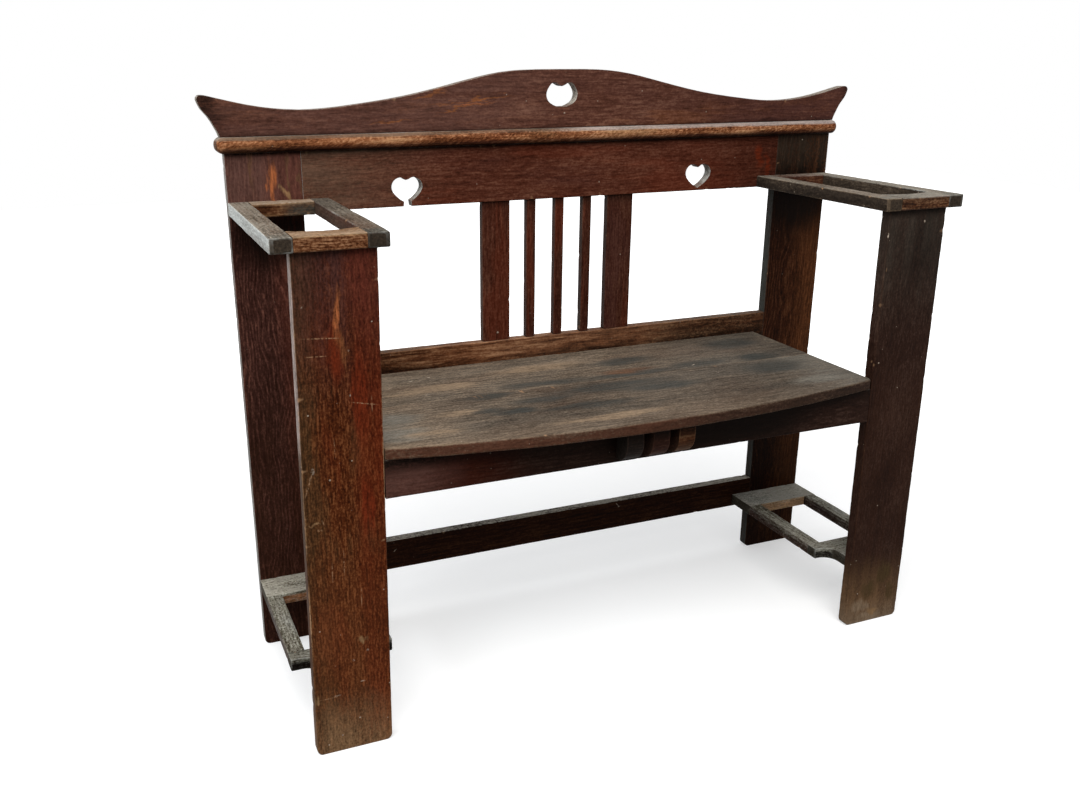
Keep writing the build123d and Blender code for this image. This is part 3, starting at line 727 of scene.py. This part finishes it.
def washed(at, body):
    """Stain, bleach, painted shade and painted sheen, each over its own stretch, with a ragged start."""
    wander = (at.stain - 0.5) * 0.9 + (at.fleck - 0.5) * 0.5
    patchy = 0.55 + (at.crumble * 0.5 + at.streak * 0.5).rise(0.38, 0.58) * 0.6
    for colour, axis, low, high, share, *ways in at.look["washes"]:
        wash = at.numbers[axis] + wander * (abs(high - low) * MM)
        wash = wash.rise(low * MM, high * MM)
        for way, sign in ways:
            wash = wash * (at.facing[way] * sign).rise(0.35, 0.75)
        body = blend(wash * patchy * share, body, shaded(WASH[colour], at.light))
    return body


# %% [markdown]
# Ends drink stain and go dark. Arrises are rubbed where the mesh says that one is near,
# and a nick shows bare oak. Dust and a painted grey sheen lie on what faces up, and specks anywhere.

# %% Wear, dust with a painted sheen, and specks
def rubbed(at, body):
    """Dark end grain, arrises worn to another colour, and nicks down to bare oak."""
    dark, middling, light = WOODS[at.look["wood"]]
    end_grain = shaded(blend(at.fibre, CHARCOAL, dark), at.grit * 1.4 + 0.3)
    body = blend(at.end_on * at.look["end"], body, end_grain)
    worn_here = (at.streak * 0.4 + at.stain * 0.6).rise(0.44, 0.60) * 0.85 + 0.15
    reach = at.look["reach"] * MM
    edge = (at.arris + (at.crumble - 0.5) * (reach * 2.2)).rise(reach, reach * 0.1)
    edge = edge * worn_here * at.look["edges"]
    rim = WASH[at.look["rim"]] if at.look["rim"] else light
    body = blend(edge * (1 - at.end_on * 0.6), body, shaded(rim, at.crumble * 2.4 - 0.2))
    bare = at.nick.rise(0.25, 0.7) * (0.1 + 0.9 * at.crumble) * (0.3 + 0.7 * at.look["edges"])
    return blend(bare, body, BARE_OAK)


def dust_and_sheen_on(at):
    """The share of dust and of a painted grey sheen: in patches, on what faces up."""
    cloud = at.stain * 0.5 + at.grit * 0.5 + (at.fibre - 0.5) * 0.5 + (at.crumble - 0.5) * 0.6
    return (at.facing[Z].rise(0.45, 0.93) * cloud.rise(0.30, 0.70) * at.look["dust"]).held()


def specked(at, body):
    """A pale speck, small or tiny, in a few of many cells."""
    cells = at.wood.node("TexVoronoi", {}, {"Vector": at.wood, "Scale": 85.0})
    chance, size, strength = cells.output("Color").parts()
    speck = (size * 0.09 + 0.05 - cells).rise(0.0, 0.05) * chance.rise(0.84, 0.88) * at.look["specks"]
    return blend(speck * (0.25 + strength * 0.7), body, CHALK)


# %% [markdown]
# A mark is an oval on the board's front or top face: seen from its middle in its own
# scale, it is a circle of radius 1. Soft marks wander with the grain, and scratches
# and chips stay sharp. The near-black ovals are painted shadow under the arms and the seat.

# %% Marks placed one by one
def marked(at, body):
    """Ovals of colour, each at its own place on the board's shown face."""
    shown = (at.facing[at.deep] * (1 if at.deep == Z else -1)).rise(0.2, 0.6)
    drift = at.wood.noise((16, 55, 55), 3.0, 0.65, "Color").vector("ADD", (-0.5, -0.5, -0.5))
    sway = shaded(drift, 0.035).vector("ADD", at.spot)
    for colour, *ovals in at.look["marks"]:
        if colour in ("scratch", "chalk"):
            spot, tint, broken = at.spot, WASH[colour], at.crumble.rise(0.40, 0.62) * 0.9
        else:
            spot, tint = sway, shaded(WASH[colour], at.light)
            broken = (at.fleck * 0.5 + at.fibre * 0.5).rise(0.36, 0.58) * 0.5 + 0.42
        for at_along, at_across, half_length, half_width, *turn in ovals:
            middle = (at_along * MM, at_across * MM, at.middles[at.deep])
            scale = (half_length * MM, half_width * MM, 1.0)
            angle = (0, 0, math.radians(sum(turn)))
            mask = turned(spot, middle, angle, scale).vector("LENGTH", out=1).rise(1.0, 0.3)
            body = blend((mask * shown * broken).held(), body, tint)
    return body


# %% One board's oak
def oak(name, node, axes, seed, look):
    """A board's finish in order: stain, washes (some painted shade), wear, dust and painted sheen, specks,
    marks.
    """
    material, start = new_material(name)
    rng = np.random.default_rng(1000 + seed)
    at = grain(start, node, axes, rng, LOOK | look)
    dust = dust_and_sheen_on(at)
    body = blend(dust, rubbed(at, washed(at, stained(at))), DUST_AND_SHEEN)
    body = marked(at, specked(at, body))
    rough = at.fibre * 0.14 + at.pore * 0.12 + dust * 0.25 + at.end_on * 0.15 + at.look["rough"]
    height = at.fibre * 0.5 + at.streak * 0.2 + at.fleck * 0.5 - at.pore * 0.4 + at.crumble * 0.15
    bump = start.node("Bump", {}, {"Strength": 0.5, "Distance": 0.0010, "Height": height})
    finished(start, {"Base Color": body, "Roughness": rough.held(), "Normal": bump,
                     "IOR": 1.45, "Specular IOR Level": 0.03})
    return material


# %% [markdown]
# Each board gets its own look. The words say what the photo shows: how dark, how
# red, how rubbed and how dusty.
# Some washes and marks paint shade, light and sheen; the comment over each look says where.

# %% What kinds of board share
SEAT = dict(wood="grey", fine=0.75, grit=1.4, lines=0.42, rings=0.5, ring_step=9, dust=0.08, specks=0.8,
            mottle=("slate", "brown", 0.3))
RING = dict(wood="ash", grit=1.3, lines=0.3, specks=1, patches=1.3, mottle=("charcoal", "pale", 0.5))
# On the slats, the near-black above arm height is painted shade, and the slate on their left sides is
# partly dust and partly painted sheen.
SLAT = dict(wood="wine", fine=0.75, lines=0.7,
            washes=[("grime", Z, 715, 732, 0.6), ("slate", *ALL, 0.5, LEFT)])
ARM = dict(wood="grey", lines=0.4)
LOOKS = {}


def dress(name, **facts):
    """Keep a look for boards whose names begin like this. The first that fits counts."""
    LOOKS[name] = facts


# %% Looks of the crest, cap and top rail
# On the crest, the pale and chalk washes on faces turned left are painted light with some dust, mainly on
# the heart's walls. The near-black at the ends and along the foot is painted shade.
dress("crest_board", wood="plum", fine=0.6, lines=0.6, flecks=0.35, dust=0.9, rim="charcoal", end=0.05,
    mottle=("plum", "orange", 0.3),
    washes=[("heather", X, 100, -200, 0.6), ("plum", X, 120, 420, 0.7), ("pale", *ALL, 0.9, LEFT),
        ("pale", *ALL, 0.8, LEFT), ("grime", X, -535, -572, 0.7), ("grime", X, 560, 577, 0.5),
        ("grime", Z, 856, 846, 0.5), ("chalk", *ALL, 0.4, LEFT)],
    marks=[("orange", (-293, 863, 42, 2.6), (-150, 896, 90, 2.4, 7), (-165, 886, 70, 2, 7),
        (-230, 903, 40, 2.4, 12)), ("flame", (-150, 891, 40, 1.2, 7)), ("chalk", (5, 871, 2.2, 1.8))])
# On the cap, the maroon and near-black bands on the nose's lower half are painted shade where it turns
# down.
dress("cap_moulding", wood="worn", shade=1.3, flecks=0.9, dust=0.15, slant=-0.4, dash=65, strand=400,
    grit=0.5, fine=0.9, lines=0.7, patches=1.6, mottle=("red", "tan", 0.5),
    washes=[("orange", X, 100, -500, 0.35), ("dun", Z, 841, 845, 0.8), ("mist", X, -20, 120, 0.4, UP),
        ("mauve", X, -120, 200, 1, UP), ("mauve", X, 20, 250, 0.6, UP), ("brown", X, -150, -250, 0.7, UP),
        ("dun", X, -400, -480, 0.5, UP), ("maroon", Z, 834, 828, 0.75), ("grime", Z, 828.5, 825, 0.7),
        ("pale", Y, 173, 177, 0.35), ("charcoal", X, -555, -568, 0.6)])
# On the top rail, the near-black band under the cap is painted shadow and the one over the right end is
# painted shade; the pale wash on faces turned left, the hearts' walls, is painted light.
dress("top_rail", wood="wine", fine=0.7, lines=0.5, flecks=0.2, end=0.1, mottle=("plum", "red", 0.25),
    washes=[("grime", Z, 817, 824, 0.9), ("dun", X, -180, -430, 0.4), ("red", X, 60, 420, 0.2),
        ("grime", X, 230, 400, 0.42), ("pale", *ALL, 0.95, LEFT)],
    marks=[("red", (395, 790, 11, 28), (412, 770, 8, 24))])

# %% Looks of the posts
# On the rear left post, the umber over the lower half and the near-black under the cap and, in ovals,
# under the arm are painted shade; the pale wash on the left face is painted sheen with some dust.
dress("rear_post_left", wood="maroon", shade=1.1, rings=-0.65, ring_step=4.6, pith=70, wobble=1.3,
    lines=0.35, fine=0.6, flecks=0.15,
    washes=[("heather", Z, 735, 757, 0.85), ("red", X, -500, -455, 0.25), ("umber", Z, 560, 300, 0.7),
        ("grime", Z, 817, 824, 0.9), ("pale", *ALL, 0.5, LEFT)],
    marks=[("grime", (688, -480, 60, 95), (705, -470, 45, 90)), ("brown", (800, -510, 45, 5),
        (790, -455, 50, 5)), ("flame", (775, -480, 44, 6), (790, -474, 24, 6, 4)),
        ("tan", (762, -462, 18, 4, -30)), ("brown", (778, -436, 36, 3, 2)),
        ("tan", (757, -455, 12, 5, -25))])
# On the rear right post, the near-black under the cap, under the arm and over the lower part is painted
# shade; the slate on the left face is partly dust and partly painted sheen.
dress("rear_post_right", wood="umber", rings=-0.9, ring_step=3.2, fine=0.6, lines=0.35,
    washes=[("orange", X, 460, 540, 0.5), ("grime", Z, 817, 824, 0.9), ("grime", Z, 560, 720, 0.95),
        ("dun", Z, 740, 800, 0.12), ("grime", Z, 440, 250, 0.65), ("slate", *ALL, 0.9, LEFT)],
    marks=[("grime", (690, 490, 60, 80), (700, 490, 45, 80))])
# On the front left post, the near-black under the arm and low on the left face is painted shade, and the
# mauve high on the left face is painted sheen with some dust.
dress("front_post_left", shade=0.97, flecks=0.9, specks=1, edges=1.1, rim="chip", fine=1.2, lines=0.55,
    reach=1.9, mottle=("olive", "red", 0.4),
    washes=[("orange", Z, 360, 180, 0.25), ("grime", Z, 712, 733, 0.9), ("plum", Z, 480, 700, 0.75),
        ("olive", X, -480, -540, 0.4), ("red", X, -462, -440, 0.4), ("dusty", Z, 110, -10, 0.85),
        ("mauve", Z, 440, 500, 0.9, LEFT), ("grime", Z, 480, 430, 0.5, LEFT)],
    marks=[("flame", (650, -466, 50, 7, 2)), ("orange", (606, -461, 34, 6, -3)),
        ("red", (600, -470, 60, 12), (540, -440, 90, 14), (380, -436, 60, 10)),
        ("scratch", (621, -485, 1.2, 32, 4), (598, -495, 1.1, 22, 2), (528, -436, 1.2, 24, 12),
        (526, -425, 14, 1.1)), ("chalk", (663, -509, 2.2, 1.8), (541, -454, 2.4, 2),
        (602, -453, 2.2, 1.8), (158, -447, 2.6, 2.2), (146, -468, 2.4, 2)),
        ("scratch", (425, -515, 24, 2.2, 18)), ("chalk", (442, -509, 6, 3)),
        ("tan", (366, -510, 3, 12, 10)), ("scratch", (368, -500, 7, 1.4, -20), (356, -504, 2.2, 6, 10),
        (286, -491, 26, 1, 1), (92, -506, 1.2, 22)), ("chalk", (94, -494, 1.3, 6),
        (109, -456, 1.5, 5, 3)), ("tan", (92, -525, 8, 7)), ("scratch", (430, -524, 60, 1.6)),
        ("chalk", (104, -531, 12, 2.2)), ("scratch", (300, -474, 30, 1, 1), (470, -478, 18, 0.9, -2),
        (245, -452, 20, 0.9, 2)), ("tan", (178, -455, 7, 9, 20))])
# The front right post's darker coal wood is partly painted shade, as the right side gets less light, and
# the near-black under the arm is painted shadow.
dress("front_post_right", wood="coal", shade=1.1, fine=0.5, grit=1.2, lines=0.25, flecks=0.15, specks=1,
    patches=1.2, rings=0.1, rim="brown",
    washes=[("charcoal", Z, 520, 700, 0.45), ("grime", Z, 718, 733, 0.8), ("umber", Z, 560, 400, 0.5),
        ("dusty", Z, 150, 40, 0.5), ("straw", Z, 60, -10, 0.7), ("straw", Z, 7, 3, 0.7)],
    marks=[("chalk", (713, 479, 3, 2), (695, 410, 5, 1.6)), ("scratch", (640, 414, 5, 1.2),
        (30, 455, 14, 1.4, 12)), ("straw", (36, 440, 18, 22), (10, 465, 8, 40, 6)),
        ("olive", (90, 490, 30, 20), (64, 460, 26, 24)), ("straw", (30, 455, 9, 12, 20)),
        ("olive", (50, 506, 24, 12)), ("tan", (20, 470, 10, 14)), ("chalk", (128, 424, 2, 2),
        (60, 436, 2, 1.6))])

# %% Looks of the lower rails, apron and slats
# On the seat's back rail, the near-black is painted shade, along the bottom where it meets the seat and
# towards both ends.
dress("seat_back_rail", wood="worn", shade=0.85, dust=0.15, fine=0.5, dash=40, lines=0.75, rings=0.5,
    ring_step=4, patches=1.2,
    washes=[("dun", X, -300, 0, 0.2), ("grime", X, -150, -330, 0.7), ("grime", Z, 472, 460, 0.6),
        ("grime", X, 100, 300, 0.75)])
dress("back_stretcher", wood="umber", shade=0.6, dust=1.3, fine=0.6, flecks=0.1,
    marks=[("chalk", (131, 146, 6, 1.3, -50), (135, 142, 4, 1.2, 20), (-310, 134, 5, 1.2, 40))])
# On the apron, the near-black along the top, over the left part and in ovals right of the middle is
# painted shadow cast by the seat.
dress("front_apron", wood="coal", fine=0.5, lines=0.5, flecks=0.1, specks=0.2,
    washes=[("red", X, -150, -330, 0.4), ("grime", X, 60, -100, 0.4), ("heather", X, -290, -370, 0.7),
        ("grime", Z, 412, 438, 0.9)],
    marks=[("grime", (170, 415, 170, 50), (150, 420, 170, 50), (60, 415, 130, 50), (-30, 415, 90, 50))])
dress("back_slat_1", **SLAT, shade=0.74, mottle=("plum", "red", 0.3),
    marks=[("chalk", (510, -113, 2.5, 2.5))])
dress("back_slat", **SLAT, shade=0.56, mottle=("plum", "red", 0.35))

# %% Looks of the seat and its brackets
# On the seat's front board, the shade and near-black washes that darken the front face towards the right
# are painted shade.
dress("seat_front_board", **SEAT, edges=1, rim="straw", reach=2.8,
    washes=[("shade", X, -340, -220, 0.4), ("dun", Y, -120, -170, 0.4), ("straw", X, -250, -390, 0.4),
        ("mist", X, 290, 390, 0.6), ("slate", X, 60, 330, 0.25, UP), ("brick", Z, 460, 457.4, 1),
        ("shade", X, -150, 330, 0.6, FRONT), ("grime", X, -200, 300, 0.45, FRONT)],
    marks=[("slate", (-195, 4, 50, 24), (-190, -80, 56, 20), (-180, -80, 36, 12)),
        ("straw", (-266, -55, 46, 15)), ("slate", (0, -22, 150, 32), (-130, -44, 70, 26),
        (80, -52, 110, 24), (-225, -62, 40, 16), (-70, -92, 110, 18)), ("mist", (-376, -110, 56, 40),
        (-370, -50, 60, 40)), ("straw", (-330, -120, 60, 14)), ("slate", (310, -30, 90, 44)),
        ("straw", (-60, -150, 130, 16)), ("mist", (335, -115, 70, 30))])
dress("seat_rear_board", **SEAT,
    washes=[("straw", X, -250, -390, 0.35), ("slate", X, 40, 330, 0.5), ("shade", X, -340, -260, 0.12)],
    marks=[("slate", (-195, 4, 50, 24)), ("straw", (-254, 70, 80, 30), (-235, 76, 50, 18),
        (-320, 60, 50, 20)), ("slate", (320, 20, 60, 36), (310, 36, 40, 22), (85, 95, 80, 28),
        (60, 24, 120, 20)), ("brown", (62, 42, 70, 16)), ("slate", (320, 120, 80, 40)),
        ("straw", (-70, 110, 110, 26)), ("slate", (200, 34, 80, 24), (-100, 32, 110, 20)),
        ("chalk", (-288, 123, 5, 4, 30), (-285, 46, 6, 2.4, 20), (-255, 132, 4, 3),
        (186, 30, 6, 2.4, 30))])
# On the brackets, the near-black towards the top is painted shade under the seat.
dress("seat_corbel_left", wood="coal", shade=0.4, dust=0.2, flecks=0.1,
    washes=[("slate", *ALL, 0.15), ("grime", Z, 405, 435, 0.8)])
dress("seat_corbel_middle", wood="plum", shade=0.32, dust=0.1, flecks=0.1,
    washes=[("grime", Z, 405, 435, 0.8)])
dress("seat_corbel_right", wood="worn", shade=0.42, fine=0.5, dust=0.1, flecks=0.1,
    washes=[("dun", Z, 420, 400, 0.25), ("grime", Z, 412, 438, 0.85)])

# %% Looks of the arm frames
# On the arm frames, the silver on the left arm's outer face is painted sheen with some dust, and its pale
# arrises are partly painted highlight. The maroon and shade washes on faces turned left of the left inner
# rail and both right rails, and the near-black low and at the back of the right inner rail, are painted
# shade.
dress("arm_outer_rail_left", **ARM, shade=0.8, dust=0.6, edges=1.1, rim="pale", grit=1.6,
    mottle=("shade", "brown", 0.5),
    washes=[("silver", *ALL, 1, LEFT), ("charcoal", Y, -132, -146, 0.85, UP)],
    marks=[("chalk", (-150, -541, 3, 2.4))])
dress("arm_inner_rail_left", **ARM, shade=0.5, dust=0.35, edges=0.8, rim="pale",
    mottle=("shade", "brown", 0.5),
    washes=[("maroon", *ALL, 0.6, LEFT), ("shade", Z, 750, 735, 0.4),
        ("charcoal", Y, -126, -142, 0.85, UP)])
dress("arm_outer_rail_right", **ARM, shade=0.74, dust=0.8, edges=0.9, rim="pale",
    washes=[("shade", *ALL, 0.95, LEFT), ("charcoal", Y, -132, -146, 0.85, UP)])
dress("arm_inner_rail_right", **ARM, shade=0.86, dust=0.6, edges=1.2, rim="straw", fine=1, grit=1.6,
    mottle=("shade", "dun", 0.5),
    washes=[("shade", *ALL, 1, LEFT), ("grime", Z, 748, 738, 0.4, LEFT),
        ("charcoal", Y, -126, -142, 0.85, UP), ("grime", Y, 110, 170, 0.3)])
dress("arm_front_rail_left", wood="worn", shade=0.72, fine=1, grit=1.3, lines=0.7, rings=0.6, flecks=0.5,
    dust=0.4, edges=0.7, rim="straw",
    washes=[("tan", Z, 750, 752, 0.6)])
dress("arm_front_rail_right", wood="worn", shade=0.6, fine=1, grit=1.3, flecks=0.5, dust=0.6, edges=1.1,
    rim="mauve",
    washes=[("shade", *ALL, 0.4), ("mist", Z, 750, 752, 0.9)])
dress("arm_rear_rail_left", wood="worn", shade=0.46, lines=0.6, flecks=0.4, dust=0.9, edges=0.8,
    rim="straw", mottle=("shade", "tan", 0.6),
    washes=[("charcoal", X, -478, -450, 0.9, FRONT), ("chip", Z, 748, 752, 0.5)])
dress("arm_rear_rail_right", wood="worn", shade=0.6, lines=0.6, flecks=0.4, dust=0.8, edges=0.8,
    rim="mauve",
    washes=[("maroon", *ALL, 0.6)])

# %% Looks of the lower frames
# On the lower frames, the near-black and maroon on the sides and front faces below the tops are painted
# shade. At the right end of the rear rails, the light tan and pale washes are painted light.
dress("lower_front", **RING, shade=0.9, fine=1.1, dust=0.4, edges=0.8, rim="pale",
    washes=[("slate", Z, 121, 114, 0.8), ("grime", Z, 121, 114, 0.9, FRONT)])
dress("lower_rear", **RING, shade=2.3, fine=1, dust=1.1,
    washes=[("rust", Z, 121, 117, 0.95, FRONT), ("chip", X, 300, 400, 0.8, FRONT),
        ("pale", X, 300, 400, 0.5, UP), ("grime", *ALL, 0.6, LEFT)])
dress("lower_", **RING, shade=1.3, fine=1.1,
    washes=[("grime", Z, 120, 114, 0.8), ("maroon", *ALL, 0.6, LEFT), ("grime", Z, 121, 114, 0.8, FRONT)])

# %% Put the looks on the boards
# The axes along and across the grain. Boards not named here run along X and stand up.
AXES = {(Z, X): ("rear_post", "front_post", "back_slat"),
        (Y, Z): ("seat_side",),
        (Y, X): ("arm_outer", "arm_inner", "lower_outer", "lower_inner"),
        (X, Y): ("seat_front", "seat_rear", "arm_front", "arm_rear", "lower_front", "lower_rear", "cap")}


def axes_of(name):
    """The axes along and across a board's grain."""
    return next((axes for axes, starts in AXES.items() if name.startswith(starts)), (X, Z))


for number, (name, board) in enumerate(worn.items()):
    look = next(facts for start, facts in LOOKS.items() if name.startswith(start))
    finish = oak("oak_" + name, name, axes_of(name), number, look)
    board.data.materials.clear()
    board.data.materials.append(finish)
print("boards finished:", len(worn), "looks:", len(LOOKS))

# %% [markdown]
# Dowels, screws and the boards under the seat stay as the model has them, and get
# steel or wood of their own, for when the settle is taken apart.

# %% Pieces that stay as the model has them
def old_steel(name):
    """Dull screw steel: grey metal, clouded, with brown rust in the low spots."""
    material, start = new_material(name)
    place = start.node("TexCoord", out="Object")
    cloud, scratch = place.noise((160, 160, 160), 4.0, 0.6), place.noise((900, 900, 120), 2.0)
    rust = cloud.rise(0.52, 0.66)
    colour = blend(rust, shaded(paint(160, 156, 150), scratch * 0.5 + 0.75), paint(96, 58, 36))
    rough = 0.36 + scratch * 0.2 + rust * 0.35
    bump = start.node("Bump", {}, {"Strength": 0.4, "Distance": 0.0002, "Height": scratch + rust})
    finished(start, {"Base Color": colour, "Metallic": 1 - rust * 0.8, "Roughness": rough, "Normal": bump})
    return material


for number, (name, piece) in enumerate(sorted(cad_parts.items())):
    if name in worn:
        continue
    if name.endswith("screws"):
        finish = old_steel("steel_" + name)
    else:
        look = dict(wood="beech" if name.endswith("dowels") else "umber", edges=0.0)
        finish = oak("oak_" + name, name, axes_of(name), 60 + number, look)
    piece.data.materials.clear()
    piece.data.materials.append(finish)
print("left as modelled:", sorted(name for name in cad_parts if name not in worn))

# %% [markdown]
# The room is a plain pale studio. A broad skylight hangs high in front, and a cooler
# window lamp lights the left sides. The floor is white to the camera, keeps the
# settle's shadow, and throws back little light, so the underside stays deep.

# %% Floor
FLOOR_GREY, FLOOR_SHOWN = (0.16, 0.155, 0.15), (0.66, 0.66, 0.66)


def seen(start):
    """1 for rays that show the room: the camera's own, and those off or through a shine."""
    ways = ("Is Camera Ray", "Is Glossy Ray", "Is Transmission Ray")
    camera, glossy, through = (start.node("LightPath", out=way) for way in ways)
    return (camera + glossy + through).held()


def studio_floor(name):
    """A floor that shows white with a soft shadow to the camera, and is grey to the light."""
    material, start = new_material(name)
    shown = seen(start)
    far = start.node("TexCoord", out="Object").vector("LENGTH", out=1)
    glow = shown * (0.42 + far.rise(0.9, 2.2) * 0.6)
    finished(start, {"Base Color": blend(shown, FLOOR_GREY, FLOOR_SHOWN), "Emission Strength": 1.0,
                     "Emission Color": blend(glow, (0, 0, 0), (1, 1, 1)), "Roughness": 0.9})
    return material


floor_half = 6.0
corners = [(across * floor_half, away * floor_half, 0) for across, away in CORNERS]
floor_mesh = bpy.data.meshes.new("studio_floor")
floor_mesh.from_pydata(corners, [], [(0, 1, 2, 3)])
floor = placed("studio_floor", floor_mesh)
floor.data.materials.append(studio_floor("studio_floor"))

# %% World and lamps
world = bpy.data.worlds.new("studio")
bpy.context.scene.world = world
world.use_nodes = True
world.node_tree.nodes.clear()
start = Wire(world.node_tree)
ways = start.node("TexCoord", out="Generated").parts()
glow = 0.10 + ways[Z].rise(-0.1, 0.9) * 0.55
light = start.node("Background", {}, {"Color": (0.96, 0.98, 1.0, 1.0), "Strength": glow})
white = start.node("Background", {}, {"Color": (1.0, 1.0, 1.0, 1.0), "Strength": 1.0})
mixed = start.node("MixShader", {}, {0: seen(start), 1: light, 2: white})
start.node("OutputWorld", {}, {"Surface": mixed})


def lamp(name, place, aim, size, power, colour):
    """A soft rectangular lamp at a place, turned to its aim."""
    data = bpy.data.lights.new(name, "AREA")
    data.shape = "RECTANGLE"
    data.size, data.size_y = size
    data.energy = power
    data.color = colour
    made = placed(name, data)
    made.location = place
    made.rotation_euler = (Vector(aim) - Vector(place)).to_track_quat("-Z", "Y").to_euler()


lamp("skylight", (-0.9, -1.9, 3.3), (0, 0, 0.55), (3.2, 2.4), 138, (1.0, 0.985, 0.96))
lamp("window", (-3.0, 0.1, 1.6), (0, 0, 0.6), (1.4, 1.4), 45, (0.92, 0.96, 1.0))
print("lamps:", sorted(light.name for light in bpy.data.lights))

# %% [markdown]
# The camera stands where the photo was taken from. Place, turn and lens were solved
# from the settle's corners, and the shift is that of the photo's middle.

# %% Camera
camera_data = bpy.data.cameras.new("camera")
camera = placed("camera", camera_data)
camera.location = (-0.74748, -1.40774, 0.96395)
camera.rotation_euler = Euler((math.radians(71.252), 0, math.radians(-22.284)))
camera_data.sensor_width = 36
camera_data.lens = 34.285
camera_data.shift_x = 0.0309
camera_data.shift_y = -0.0026
bpy.context.scene.camera = camera
print("camera at", [round(value, 3) for value in camera.location], "lens", camera_data.lens)
bpy.context.scene.view_settings.view_transform = "Standard"
